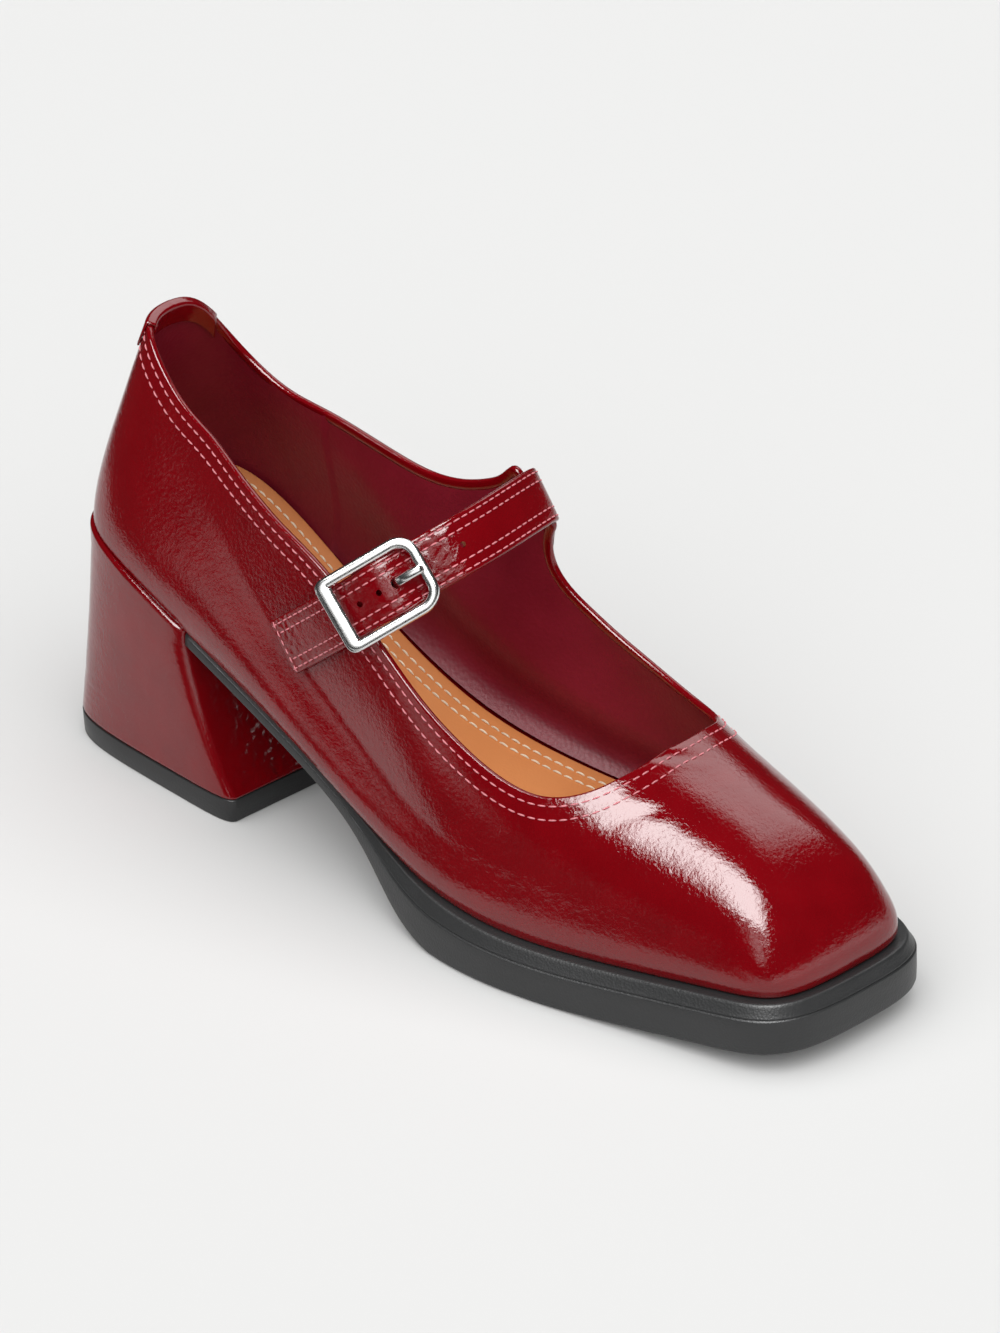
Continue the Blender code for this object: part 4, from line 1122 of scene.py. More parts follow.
def round_corners(outline, radius, steps=4):
    """Closed outline of flat points with every corner rounded."""
    places = []
    outline = np.asarray(outline, float)
    for k in range(len(outline)):
        corner, before, after = outline[k], outline[k - 1], outline[(k + 1) % len(outline)]
        back, ahead = before - corner, after - corner
        shorter = min(np.linalg.norm(back), np.linalg.norm(ahead))
        cut = min(radius, shorter * CORNER_SHARE)
        start, end = corner + unit(back) * cut, corner + unit(ahead) * cut
        for i in range(steps + 1):
            t = i / steps
            places.append(start * (1 - t) ** 2 + corner * 2 * t * (1 - t) + end * t * t)
    return np.array(places)


def make_back_tab():
    thick = BACK_TAB_THICKNESS
    out = BACK_TAB_REST
    top = fold_radius * FOLD_RISE + BACK_TAB_REST
    inner = UPPER_WALL + BACK_TAB_REST
    inner_depth = BACK_TAB_DEPTH * BACK_TAB_INNER_SHARE
    corners = (
        (out + thick, BACK_TAB_DEPTH),
        (out + thick, -top),
        (out, -top - thick),
        (-inner, -top - thick),
        (-inner - thick, -top),
        (-inner - thick, inner_depth),
        (-inner, inner_depth),
        (-inner, -top),
        (out, -top),
        (out, BACK_TAB_DEPTH),
    )
    outline = round_corners(corners, BACK_TAB_CORNER)
    sections = []
    for place in np.linspace(-BACK_TAB_SPAN, BACK_TAB_SPAN, BACK_TAB_SECTIONS):
        side = -1 if place < 0 else 1
        angle = rim_angle(abs(place), side)
        station = np.array(on_side(abs(place), side))
        rim = last_point(station, np.array(angle))
        down = unit(last_point(station, np.array(angle - 0.5)) - rim)
        normal = last_normal(station, np.array(angle))
        normal = unit(normal - down * np.dot(normal, down))
        sections.append(np.array([rim + normal * a + down * b for a, b in outline]))
    points, faces = skin_over(sections)
    piece = new_piece("back_tab_leather", points, faces, patent_red)
    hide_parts("back_tab")


make_back_tab()

# Insole
# Tan leather sock, glued on the lasted bottom from heel to toe, with two rows of
# cream stitching along its edge.

INSOLE_THICKNESS = 0.0022
INSOLE_CLEARANCE = 0.0006
INSOLE_EDGE = 0.0009
INSOLE_COLUMNS = 170
INSOLE_CROSSINGS = 26
INSOLE_EDGE_STEPS = 5
INSOLE_ROWS = (0.0040, 0.0072)
SOCK_SAMPLES = 500
SOCK_TONES = ((0.600, 0.205, 0.056), (0.660, 0.240, 0.070))
CREAM = (0.95, 0.80, 0.58)


def crossed_section(edges, crossings, top_at, under_at):
    """Closed section of a sheet, from its two edges and the heights between them."""
    share = np.linspace(0, 1, crossings + 1)[1:-1, None]
    over = edges[0][-1] + (edges[1][-1] - edges[0][-1]) * share
    over[:, 2] = top_at(over[:, 0])
    under = edges[1][0] + (edges[0][0] - edges[1][0]) * share
    under[:, 2] = under_at(under[:, 0])
    return np.concatenate([edges[0], over, edges[1][::-1], under])


def insole_top(along):
    """Height of the insole's upper face."""
    return bottom_height(along) + INSOLE_THICKNESS


def insole_edge(place):
    """Edge of the insole at a station, from its foot over its rounded corner."""
    plan = feather(place) - outward(place) * (UPPER_WALL + INSOLE_CLEARANCE)
    edge = [[*plan, bottom_height(plan[0])]]
    for turn in np.linspace(0, math.pi / 2, INSOLE_EDGE_STEPS):
        spot = plan - outward(place) * INSOLE_EDGE * (1 - math.cos(turn))
        edge.append([*spot, insole_top(spot[0]) - INSOLE_EDGE * (1 - math.sin(turn))])
    return np.array(edge)


def make_insole(finish):
    share = np.linspace(0, 1, INSOLE_COLUMNS + 1)
    share = (share + (1 - np.cos(share * math.pi)) / 2) / 2
    sections = []
    for station in TOE_STATION * share:
        edges = [insole_edge(np.array(on_side(station, side))) for side in (-1, 1)]
        sections.append(crossed_section(edges, INSOLE_CROSSINGS, insole_top, bottom_height))
    faces = sheet_faces(len(sections), len(sections[0]), closed_columns=True)
    piece = new_piece("insole_sock", np.concatenate(sections), faces, finish)
    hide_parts("insole")


sock_leather = grained("sock_leather_tan", SOCK_TONES, 0.46, grain=0.22, scale=1400.0, mottle=35.0)
make_insole(sock_leather)
cream_thread = thread("thread_cream", CREAM)


def sock_line(inset):
    """Line round the insole at a distance from its edge."""
    stations = np.linspace(0, STATIONS, SOCK_SAMPLES, endpoint=False)
    plan = feather(stations) - outward(stations) * (inset + UPPER_WALL + INSOLE_CLEARANCE)
    return np.concatenate([plan, insole_top(plan[:, 0])[:, None]], -1)


def sock_face(point):
    """Upward direction of the insole at a point."""
    step = 0.001
    rise = bottom_height(point[0] + step) - bottom_height(point[0] - step)
    return unit([-rise, 0.0, 2 * step])


sock_lines = [(sock_line(inset), sock_face, True) for inset in INSOLE_ROWS]
points, faces = stitch_mesh(sock_lines, pitch=0.0031, length=0.0025, radius=0.00030)
new_piece("insole_stitches", points, faces, cream_thread, merge=STITCH_MERGE)

# Outsole
# Black moulded rubber unit, cemented under the upper from the waist to the toe. Its
# side stands out as a flat ledge, with a bevelled strip and a fine line below it.

LEDGE = 0.0052
FLOOR_FLAT = 0.0002
BREAST_TOP = 0.052
WAIST_STEPS = 0.35
# Stations between which the waist lies on either side.
WAIST_STATIONS = (3.0, 7.0)
WAIST_SAMPLES = 4000
SOLE_COLUMNS = 190
SOLE_CROSSINGS = 14
SOLE_TONES = ((0.016, 0.0165, 0.017), (0.024, 0.0245, 0.025))
# Side of the sole, floor edge first: inset from its outline, and height as a share of
# its own thickness.
SOLE_SIDE = (
    # inset, share
    (0.0012, 0.000),
    (0.0006, 0.012),
    (0.0002, 0.040),
    (0.0000, 0.085),
    (0.0000, 0.300),
    (0.0001, 0.520),
    (0.0002, 0.700),
    (0.0003, 0.722),
    (0.0008, 0.732),
    (0.0008, 0.744),
    (0.0006, 0.756),
    (0.0008, 0.776),
    (0.0012, 0.830),
    (0.0016, 0.885),
    (0.0020, 0.940),
    (0.0023, 0.978),
    (0.0026, 0.995),
    (0.0031, 1.000),
)


def ledge(station):
    """How far the sole stands out from the feather line."""
    return LEDGE * spline_closed(LAST, station)[..., LAST_LEDGE]


def sole_top(along):
    """Height of the sole's upper face, under the upper."""
    return bottom_height(along) - GAP


def under_height(along):
    """Height of the sole's underside, flat on the floor under the ball."""
    arch = bottom_height(along) - FOREPART_SOLE * profile(along, PROFILE_SOLE)
    spring = TOE_SPRING * profile(along, PROFILE_SPRING) - FLOOR_FLAT
    return np.maximum(np.maximum(arch, spring), 0.0)


def station_at(along, side):
    """Station of one side where the feather line passes a length along the waist."""
    stations = np.linspace(*WAIST_STATIONS, WAIST_SAMPLES)
    return np.interp(along, feather(on_side(stations, side))[:, 0], stations)


def sole_edge(place):
    """Side of the sole at a station, floor edge first."""
    inset, rise = np.array(SOLE_SIDE).T
    narrow = WAIST_STEPS + (1 - WAIST_STEPS) * ledge(place) / LEDGE
    plan = feather(place) + outward(place) * (ledge(place) - inset * narrow)[:, None]
    low, high = under_height(plan[:, 0]), sole_top(plan[:, 0])
    return np.concatenate([plan, (low + (high - low) * rise)[:, None]], -1)


def make_outsole(finish):
    rear = BREAST_TOP + GAP
    starts = [(station_at(rear, side), side) for side in (-1, 1)]
    sections = []
    for share in np.linspace(0, 1, SOLE_COLUMNS + 1):
        edges = [sole_edge(on_side(start + (TOE_STATION - start) * share, side)) for start, side in starts]
        if share == 0:
            edges = [edge * (0, 1, 1) + (rear, 0, 0) for edge in edges]
        sections.append(crossed_section(edges, SOLE_CROSSINGS, sole_top, under_height))
    count = len(sections[0])
    faces = sheet_faces(len(sections), count, closed_columns=True)
    faces.append(list(range(count)))
    piece = new_piece("outsole_unit", np.concatenate(sections), faces, finish)
    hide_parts("outsole")


sole_rubber = grained("sole_rubber_black", SOLE_TONES, 0.42, grain=0.25, scale=1700.0, mottle=22.0)
make_outsole(sole_rubber)

# Heel
# Block heel with a soft front edge, covered in the upper's patent leather. The cover
# is drawn round to the breast, where it wrinkles and closes in one upright seam.

HEEL_FOOT_WIDTH = 0.0556
HEEL_BACK_RAKE = 0.0055
HEEL_TOP_WIDTH = 0.0572
HEEL_ROLL = 0.0008
TOP_LIFT_HEIGHT = 0.0065
# Half outline of the heel, back seam to the edge of the breast: foot columns are
# shares of the foot's length and half width, top columns of the seat's.
HEEL = (
    # foot_along, foot_across, top_along, top_across
    (0.000, 0.00, 0.000, 0.000),
    (0.000, 0.50, 0.013, 0.430),
    (0.090, 0.90, 0.125, 0.863),
    (0.300, 1.00, 0.484, 0.997),
    (0.680, 1.00, 0.800, 0.980),
    (0.985, 1.00, 0.985, 0.965),
    (1.000, 0.90, 1.000, 0.870),
)
HEEL_NECK = 0.88
HEEL_FLARE = 0.35
HEEL_SIDE_STEPS = 110
HEEL_BREAST_STEPS = 90
HEEL_LEVELS = 100
# Relief of the heel's cover, as noise scales and heights in metres: ripples round the
# back, a light crumple all over, and knots in the leather gathered at the breast.
RIPPLE_SCALE = (150.0, 150.0, 700.0)
RIPPLE_HEIGHT = 0.00009
RIPPLE_LEVEL = 0.25
RIPPLE_SPREAD = 0.28
RIPPLE_FULL = 1.2
RIPPLE_REACH = 0.045
CRUMPLE_SCALE = (260.0, 260.0, 260.0)
CRUMPLE_HEIGHT = 0.00003
KNOT_SCALE = (520.0, 620.0, 520.0)
KNOT_HEIGHT = 0.00022
KNOT_SHARPNESS = 2.4
BREAST_CRUMPLE = 0.00020
HEEL_EDGE_FADE = 0.05
# Upright seam at the breast: its place across, and its trough with a welt beside it.
BREAST_SEAM = 0.70
SEAM_DEPTH = 0.00035
SEAM_WIDTH = 0.0004
WELT_HEIGHT = 0.00018
WELT_WIDTH = 0.0006
WELT_AWAY = 0.0011
# Levels near the top and the foot over which the cover rolls in, and how far.
ROLL_TOP = 0.015
ROLL_FOOT = 0.012
ROLL_FOOT_SHARE = 0.5
HEEL_CENTRE = np.array([HEEL_FOOT_LENGTH / 2, 0.0])


def heel_ring(level):
    """Plan outline of the heel at a level, from the back seam round by the breast."""
    ghost = (HEEL[1][0], -HEEL[1][1], HEEL[1][2], -HEEL[1][3])
    places = np.linspace(0, len(HEEL) - 1, HEEL_SIDE_STEPS + 1)
    rows = spline_open(HEEL, places, before=ghost)
    share = min(level / HEEL_NECK, 1.0)
    share = share * (1 + HEEL_FLARE * (1 - share))
    foot = rows[:, :2] * (HEEL_FOOT_LENGTH, HEEL_FOOT_WIDTH / 2)
    seat = rows[:, 2:] * (BREAST_TOP - HEEL_BACK_RAKE, HEEL_TOP_WIDTH / 2) + (HEEL_BACK_RAKE, 0)
    outer = foot + (seat - foot) * share
    outer[:, 1] *= -1
    inner = outer[::-1] * (1, -1)
    cross = np.linspace(0, 1, HEEL_BREAST_STEPS + 1)[1:-1, None]
    breast = outer[-1] + (inner[0] - outer[-1]) * cross
    return np.concatenate([outer, breast, inner[:-1]])


def heel_grid(levels):
    """Points of the heel's cover, a ring for each level, without relief."""
    low = TOP_LIFT_HEIGHT + GAP
    grid = []
    for level in levels:
        plan = heel_ring(level)
        top_roll = max(level - 1 + ROLL_TOP, 0) / ROLL_TOP
        foot_roll = max(ROLL_FOOT - level, 0) / ROLL_FOOT * ROLL_FOOT_SHARE
        plan = plan + unit(HEEL_CENTRE - plan) * HEEL_ROLL * (top_roll + foot_roll) ** 2
        height = low + (sole_top(plan[:, 0]) - low) * level
        grid.append(np.concatenate([plan, height[:, None]], -1))
    return np.array(grid)


def heel_relief(points, level, ring_place):
    """Height of the leather over the heel; ring_place counts points round a ring."""
    breast_place = ring_place - HEEL_SIDE_STEPS
    on_breast = (breast_place > 0) & (breast_place < HEEL_BREAST_STEPS)
    across = np.where(on_breast, breast_place / HEEL_BREAST_STEPS, 0)
    ripple = noise_at(points, RIPPLE_SCALE)
    crumple = noise_at(points, CRUMPLE_SCALE)
    knots = 1 - KNOT_SHARPNESS * np.abs(noise_at(points, KNOT_SCALE))
    back = np.clip(1 - points[:, 0] / RIPPLE_REACH, 0, 1)
    back *= np.clip(RIPPLE_FULL - np.abs(level - RIPPLE_LEVEL) / RIPPLE_SPREAD, 0, 1)
    relief = RIPPLE_HEIGHT * ripple * back * ~on_breast + CRUMPLE_HEIGHT * crumple
    middle = np.sin(across * math.pi) ** 0.5
    relief += on_breast * middle * (KNOT_HEIGHT * knots + BREAST_CRUMPLE * crumple)
    away = np.abs(across - BREAST_SEAM) * HEEL_FOOT_WIDTH
    relief -= on_breast * SEAM_DEPTH * np.exp(-((away / SEAM_WIDTH) ** 2))
    relief += on_breast * WELT_HEIGHT * np.exp(-(((away - WELT_AWAY) / WELT_WIDTH) ** 2))
    return relief * np.clip(np.minimum(level, 1 - level) / HEEL_EDGE_FADE, 0, 1)


def make_heel(finish):
    levels = np.linspace(0, 1, HEEL_LEVELS + 1)
    grid = heel_grid(levels)
    around = grid.shape[1]
    ahead = np.roll(grid, -1, axis=1) - np.roll(grid, 1, axis=1)
    face = unit(np.cross(ahead, np.gradient(grid, axis=0)))
    middle = HEEL_LEVELS // 2
    if np.sum(face[middle, :, :2] * (grid[middle, :, :2] - HEEL_CENTRE)) < 0:
        face = -face
    ring_place = np.tile(np.arange(around), len(levels))
    relief = heel_relief(grid.reshape(-1, 3), np.repeat(levels, around), ring_place)
    points, faces = skin_over(grid + face * relief.reshape(grid.shape[:2])[..., None])
    piece = new_piece("heel_cover", points, faces, finish)
    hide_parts("heel_block")


heel_patent = patent("patent_leather_heel", crinkle=0.45, pebble=0.22)
make_heel(heel_patent)

# Top lift
# Heel tip, a flat block of black rubber with rounded edges, cemented and pinned under
# the heel.

TOP_LIFT_INSET = 0.0003
LIFT_ROUND = 0.0005
LIFT_TONES = ((0.012, 0.0122, 0.0125), (0.018, 0.0182, 0.0188))
LIFT_SIDE = (
    # height, inset
    (0.0, TOP_LIFT_INSET + LIFT_ROUND),
    (LIFT_ROUND * 0.35, TOP_LIFT_INSET + LIFT_ROUND * 0.3),
    (LIFT_ROUND, TOP_LIFT_INSET),
    (TOP_LIFT_HEIGHT - LIFT_ROUND * 0.6, 0.0),
    (TOP_LIFT_HEIGHT - LIFT_ROUND * 0.2, LIFT_ROUND * 0.2),
    (TOP_LIFT_HEIGHT, LIFT_ROUND * 0.6),
)


def make_top_lift(finish):
    plan = heel_ring(0.0)
    inward = unit(HEEL_CENTRE - plan)
    sections = []
    for height, inset in LIFT_SIDE:
        spot = plan + inward * inset
        sections.append(np.concatenate([spot, np.full((len(spot), 1), height)], -1))
    points, faces = skin_over(sections)
    piece = new_piece("top_lift_rubber", points, faces, finish)
    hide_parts("top_lift")


lift_rubber = grained("lift_rubber_black", LIFT_TONES, 0.38, grain=0.15, scale=1500.0, mottle=30.0)
make_top_lift(lift_rubber)

# Strap
# Double strap of patent leather with folded edges, sewn to the inner tab and threaded
# through the buckle, with two stitched rows along each edge and punched holes.

STRAP_WIDTH = 0.0142
STRAP_THICKNESS = 0.0018
STRAP_ARCH = 0.020
STRAP_SECTIONS = 330
STRAP_ROUND = 0.00075
STRAP_DIP = 0.0015
STRAP_RECOVERY = 2.2
STRAP_HUMP = 0.0013
BUCKLE_LENGTH = 0.0255
BUCKLE_WIDTH = 0.0190
RAIL_THICKNESS = 0.0019
CENTRE_BAR_OFFSET = 0.0015
PRONG_HOLE = 0.0035
PRONG_HOLE_OFFSET = 0.0045
# Strap's middle line, buckled end first: across is a share of the way between the
# strap's two seats on the topline, forward and up are shares of STRAP_ARCH.
STRAP = (
    # across, forward, up
    (-0.065, -0.802, -0.935),
    (-0.064, -0.616, -0.782),
    (-0.063, -0.404, -0.607),
    (-0.064, -0.172, -0.418),
    (-0.070, 0.032, -0.246),
    (-0.084, 0.264, -0.041),
    (-0.042, 0.364, 0.051),
    (0.052, 0.530, 0.209),
    (0.151, 0.651, 0.339),
    (0.250, 0.762, 0.460),
    (0.369, 0.815, 0.525),
    (0.493, 0.761, 0.509),
    (0.608, 0.666, 0.465),
    (0.728, 0.530, 0.395),
    (0.838, 0.390, 0.310),
    (0.922, 0.270, 0.235),
    (0.966, 0.190, 0.165),
    (0.979, 0.117, 0.097),
    (0.983, 0.036, 0.027),
)
OUTER_SEAT = (6.25, 27.2)
INNER_SEAT = (6.60, 43.2)
STRAP_TILT = (0.63, 0.0, -0.78)
BUCKLE_ROW = 7.0
# Punched holes, as places along the strap's rows.
STRAP_HOLES = (6.18, 6.95, 10.03)
STRAP_HOLE_WIDTH = 0.0015
PRONG_HOLE_SHARE = 0.85
HOLE_SIDES = 20
HOLE_REACH = 3.0
# The strap's ends draw in over END_LENGTH of a row, down to END_SHARE of its width.
END_LENGTH = 0.08
END_SHARE = 0.93
OUTLINE_PACE = 0.0005
# Share of half the thickness above which the strap's face carries its relief.
FACE_SHARE = 0.6
BUCKLED_SHARE = 0.6
BUCKLED_SAMPLES = 900
# Relief of the strap's face in metres: troughs under the two stitched rows of each
# edge, a crown between them, and folds where the leather is worn.
STRAP_STITCH_INSETS = (0.0013, 0.0036)
ROW_TROUGH = 0.00012
ROW_TROUGH_WIDTH = 0.00032
STRAP_CROWN = 0.00010
FOLD_HEIGHT = 0.000126
FOLD_DIP = 0.00006
FOLD_SCALE = 420.0
FOLD_SHARPNESS = 2.2
WORN_PLACES = (
    # place, spread, amount
    (0.9, 0.9, 1.0),
    (9.4, 1.1, 1.0),
    (5.9, 0.8, 0.7),
)


def strap_rows():
    """Points of the strap's middle line, from the rows of STRAP."""
    outer = last_point(OUTER_SEAT[0], OUTER_SEAT[1])
    inner = last_point(on_side(INNER_SEAT[0], 1), INNER_SEAT[1])
    across, forward, up = np.array(STRAP).T
    lift = np.stack([forward, np.zeros(len(STRAP)), up], -1) * STRAP_ARCH
    return outer + (inner - outer) * across[:, None] + lift


STRAP_LINE = strap_rows()
STRAP_END = len(STRAP_LINE) - 1


def strap_frame(place):
    """Point, run, width and face directions of the strap at a place."""
    step = 0.01
    point = spline_open(STRAP_LINE, place)
    ahead = spline_open(STRAP_LINE, min(place + step, STRAP_END))
    behind = spline_open(STRAP_LINE, max(place - step, 0))
    run = unit(ahead - behind)
    tilt = np.array(STRAP_TILT)
    width = unit(tilt - run * np.dot(tilt, run))
    return point, run, width, np.cross(width, run)


BUCKLE_MIDDLE, BUCKLE_RUN, BUCKLE_ACROSS, BUCKLE_FACE = strap_frame(BUCKLE_ROW)


def strap_offset(point):
    """How far the strap leaves its middle line to thread the buckle."""
    reach = BUCKLE_LENGTH / 2 - RAIL_THICKNESS / 2
    travel = abs(np.dot(point - BUCKLE_MIDDLE, BUCKLE_RUN) - CENTRE_BAR_OFFSET) / reach
    if travel < 1:
        return STRAP_HUMP - (STRAP_HUMP + STRAP_DIP) * math.sin(travel * math.pi / 2) ** 2
    return -STRAP_DIP * math.exp(-(((travel - 1) * STRAP_RECOVERY) ** 2))


def strap_point(place, across, lift):
    """Point of the strap's face: across is metres from its middle line."""
    point, run, width, face = strap_frame(place)
    return point + face * (strap_offset(point) + STRAP_THICKNESS / 2 + lift) + width * across


def punch(piece, cutters):
    """Cuts the holes right through and keeps only the cut piece."""
    for cutter in cutters:
        cut = piece.modifiers.new("hole", "BOOLEAN")
        cut.operation = "DIFFERENCE"
        cut.object = cutter
    graph = bpy.context.evaluated_depsgraph_get()
    made = bpy.data.meshes.new_from_object(piece.evaluated_get(graph))
    piece.modifiers.clear()
    piece.data = made
    for cutter in cutters:
        bpy.data.objects.remove(cutter)


def hole_cutter(place, width):
    """Round bar through the strap, which cuts a punched hole."""
    point, run, across, face = strap_frame(place)
    middle = point + face * strap_offset(point)
    turns = 2 * math.pi * np.arange(HOLE_SIDES) / HOLE_SIDES
    circle = (np.outer(np.cos(turns), run) + np.outer(np.sin(turns), across)) * width / 2
    ends = [circle + middle + face * STRAP_THICKNESS * reach for reach in (-HOLE_REACH, HOLE_REACH)]
    points, faces = skin_over(ends)
    return new_piece("hole_cutter", points, faces, None)


def strap_place_at(distance):
    """Place along the strap's buckled half at a distance from the buckle's middle."""
    places = np.linspace(0, STRAP_END * BUCKLED_SHARE, BUCKLED_SAMPLES)
    along = (spline_open(STRAP_LINE, places) - BUCKLE_MIDDLE) @ BUCKLE_RUN
    return float(np.interp(distance, along, places))


def dense_outline(outline, pace):
    """Closed outline with more points along its long sides."""
    places = []
    for start, end in zip(outline, np.roll(outline, -1, axis=0)):
        steps = max(int(np.linalg.norm(end - start) / pace), 1)
        places += [start + (end - start) * i / steps for i in range(steps)]
    return np.array(places)


def strap_relief(place, across, spot):
    """Height of the strap's face over its plain section."""
    half_width = STRAP_WIDTH / 2
    from_edge = half_width - abs(across)
    rows = sum(math.exp(-(((from_edge - inset) / ROW_TROUGH_WIDTH) ** 2)) for inset in STRAP_STITCH_INSETS)
    crown = math.cos(min(abs(across) / half_width, 1) * math.pi / 2)
    worn = sum(amount * math.exp(-(((place - at) / spread) ** 2)) for at, spread, amount in WORN_PLACES)
    fold = 1 - FOLD_SHARPNESS * abs(noise.noise(Vector(spot * FOLD_SCALE)))
    return STRAP_CROWN * crown - ROW_TROUGH * rows + worn * (FOLD_HEIGHT * fold - FOLD_DIP)


def make_strap(finish):
    half_width, half = STRAP_WIDTH / 2, STRAP_THICKNESS / 2
    box = ((-half_width, -half), (half_width, -half), (half_width, half), (-half_width, half))
    outline = dense_outline(round_corners(box, STRAP_ROUND, 5), OUTLINE_PACE)
    sections = []
    for place in np.linspace(0, STRAP_END, STRAP_SECTIONS):
        point, run, width, face = strap_frame(place)
        centre = point + face * strap_offset(point)
        near = min(min(place, STRAP_END - place) / END_LENGTH, 1.0)
        pull = END_SHARE + (1 - END_SHARE) * math.sqrt(1 - (1 - near) ** 2)
        section = []
        for across, rise in outline:
            if rise > half * FACE_SHARE:
                rise = rise + strap_relief(place, across, point + width * across)
            section.append(centre + width * across * pull + face * rise)
        sections.append(np.array(section))
    points, faces = skin_over(sections)
    piece = new_piece("strap_leather", points, faces, finish)
    cutters = [hole_cutter(place, STRAP_HOLE_WIDTH) for place in STRAP_HOLES]
    cutters.append(hole_cutter(strap_place_at(PRONG_HOLE_OFFSET), PRONG_HOLE * PRONG_HOLE_SHARE))
    punch(piece, cutters)
    piece.data.shade_smooth()
    piece.data.set_sharp_from_angle(angle=math.radians(50))
    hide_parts("strap")


strap_patent = patent("patent_leather_strap", crinkle=0.55, pebble=0.30, size=1.2)
make_strap(strap_patent)

# Strap stitching
# Two rows of pink thread along each edge of the strap, one across its free end, and a
# short pale row that sews it down at the inner tab.

ROW_START = 2.2
ROW_END = 0.25
ROW_SAMPLES = 240
END_ROW_PLACE = 0.22
TAB_ROW_BACK = 1.35
TAB_ROW_HALF = 0.0062
PALE_PINK = (0.80, 0.52, 0.50)


def strap_face(point):
    """Outward direction of the strap near a point."""
    places = np.linspace(0, STRAP_END, 60)
    away = np.linalg.norm(spline_open(STRAP_LINE, places) - point, axis=1)
    return strap_frame(places[int(np.argmin(away))])[3]


def row_across(place, reach, count):
    """Stitch line across the strap at a place."""
    line = np.array([strap_point(place, across, 0.0) for across in np.linspace(-reach, reach, count)])
    return line, strap_face, False


def row_along(across, inset):
    """Stitch line along the strap, at an inset from its edge."""
    places = np.linspace(inset / STRAP_WIDTH * ROW_START, STRAP_END - ROW_END, ROW_SAMPLES)
    return np.array([strap_point(place, across, 0.0) for place in places]), strap_face, False


strap_lines = [
    row_along(side * (STRAP_WIDTH / 2 - inset), inset) for side in (-1, 1) for inset in STRAP_STITCH_INSETS
]
strap_lines.append(row_across(END_ROW_PLACE, STRAP_WIDTH / 2 - STRAP_STITCH_INSETS[0], 16))
points, faces = stitch_mesh(strap_lines, pitch=0.0024, length=0.0018, radius=0.00021)
new_piece("strap_stitches", points, faces, pink_thread, merge=STITCH_MERGE)
tab_row = row_across(STRAP_END + 1 - TAB_ROW_BACK, TAB_ROW_HALF, 14)
points, faces = stitch_mesh([tab_row], pitch=0.0017, length=0.0013, radius=0.00022)
pale_thread = thread("thread_pale", PALE_PINK)
new_piece("strap_seam_stitches", points, faces, pale_thread, merge=STITCH_MERGE)

# Buckle
# Cast and polished nickel frame with a flat bar at the outer end, a sunk centre bar,
# and a prong whose loop turns on it and whose tip rests on the rounded bar.

FLAT_BAR_WIDTH = 0.0032
CENTRE_BAR_THICKNESS = 0.0016
BAR_DROP = 0.0044
PRONG_THICKNESS = 0.0015
FRAME_CORNER = 0.0045
FRAME_FLAT_CORNER = 0.0016
FRAME_LIFT = 0.0014
RAIL_WIDTH = 0.0027
RAIL_SQUARENESS = 0.62
PRONG_WIDTH = 0.0023
PRONG_SQUARENESS = 0.6
ROD_SIDES = 24
CORNER_STEPS = 14
FRAME_PACE = 0.0009
FLAT_START = 1.15
FLAT_BLEND = 0.5
BAR_POINTS = 40
PRONG_POINTS = 90
# Share of the prong's length that narrows to its tip, how far the rounding runs, and
# the least square of its girth.
PRONG_TIP = 0.045
TIP_REACH = 0.97
TIP_LEAST = 0.05
# Turn in degrees round the centre bar where the prong's loop starts, and how far.
PRONG_LOOP = (120, 280)
PRONG_LOOP_STEPS = 9
# Half of the centre bar, from the rail down: shares of the half width and BAR_DROP.
CENTRE_BAR = ((1.00, 0.00), (0.98, 0.45), (0.92, 0.86), (0.81, 1.00))
# Prong from its loop to its tip: run is a share of PRONG_HOLE_OFFSET from the middle
# of its hole, rise of the height at which the tip rests on the frame.
PRONG = (
    # run, rise
    (-0.16, -0.10),
    (-0.02, 0.28),
    (0.10, 0.66),
    (0.42, 0.93),
    (0.95, 1.00),
    (1.35, 1.01),
    (1.64, 1.00),
)


def tube(points, widths, faces, sizes, closed=False, power=1.0):
    """Bar with rounded-square sections; a power of 1 makes them round."""
    turns = 2 * math.pi * np.arange(ROD_SIDES) / ROD_SIDES
    across = np.copysign(np.abs(np.cos(turns)) ** power, np.cos(turns))[:, None]
    rise = np.copysign(np.abs(np.sin(turns)) ** power, np.sin(turns))[:, None]
    sections = [
        point + width * across * half_width + face * rise * half_face
        for point, width, face, (half_width, half_face) in zip(points, widths, faces, sizes)
    ]
    return skin_over(sections, closed)


def rod(points, radius):
    """Round bar along a line."""
    runs = unit(np.gradient(points, axis=0))
    side = np.cross(runs[0], (0.3, 0.5, 0.8))
    widths = []
    for run in runs:
        side = unit(side - run * np.dot(side, run))
        widths.append(side)
    return tube(points, widths, np.cross(runs, widths), [(radius, radius)] * len(points))


def frame_line():
    """Flat middle line of the frame, with its two large and two small corners."""
    half_run = BUCKLE_LENGTH / 2 - RAIL_THICKNESS / 2
    half_width = BUCKLE_WIDTH / 2 - RAIL_THICKNESS / 2
    corners = (
        (half_run, half_width, FRAME_CORNER, 0),
        (-half_run, half_width, FRAME_FLAT_CORNER, 90),
        (-half_run, -half_width, FRAME_FLAT_CORNER, 180),
        (half_run, -half_width, FRAME_CORNER, 270),
    )
    places = []
    for run, width, radius, start in corners:
        centre = (run - math.copysign(radius, run), width - math.copysign(radius, width))
        for k in range(CORNER_STEPS):
            turn = math.radians(start + 90 * k / (CORNER_STEPS - 1))
            places.append((centre[0] + radius * math.cos(turn), centre[1] + radius * math.sin(turn)))
    return np.array(places)


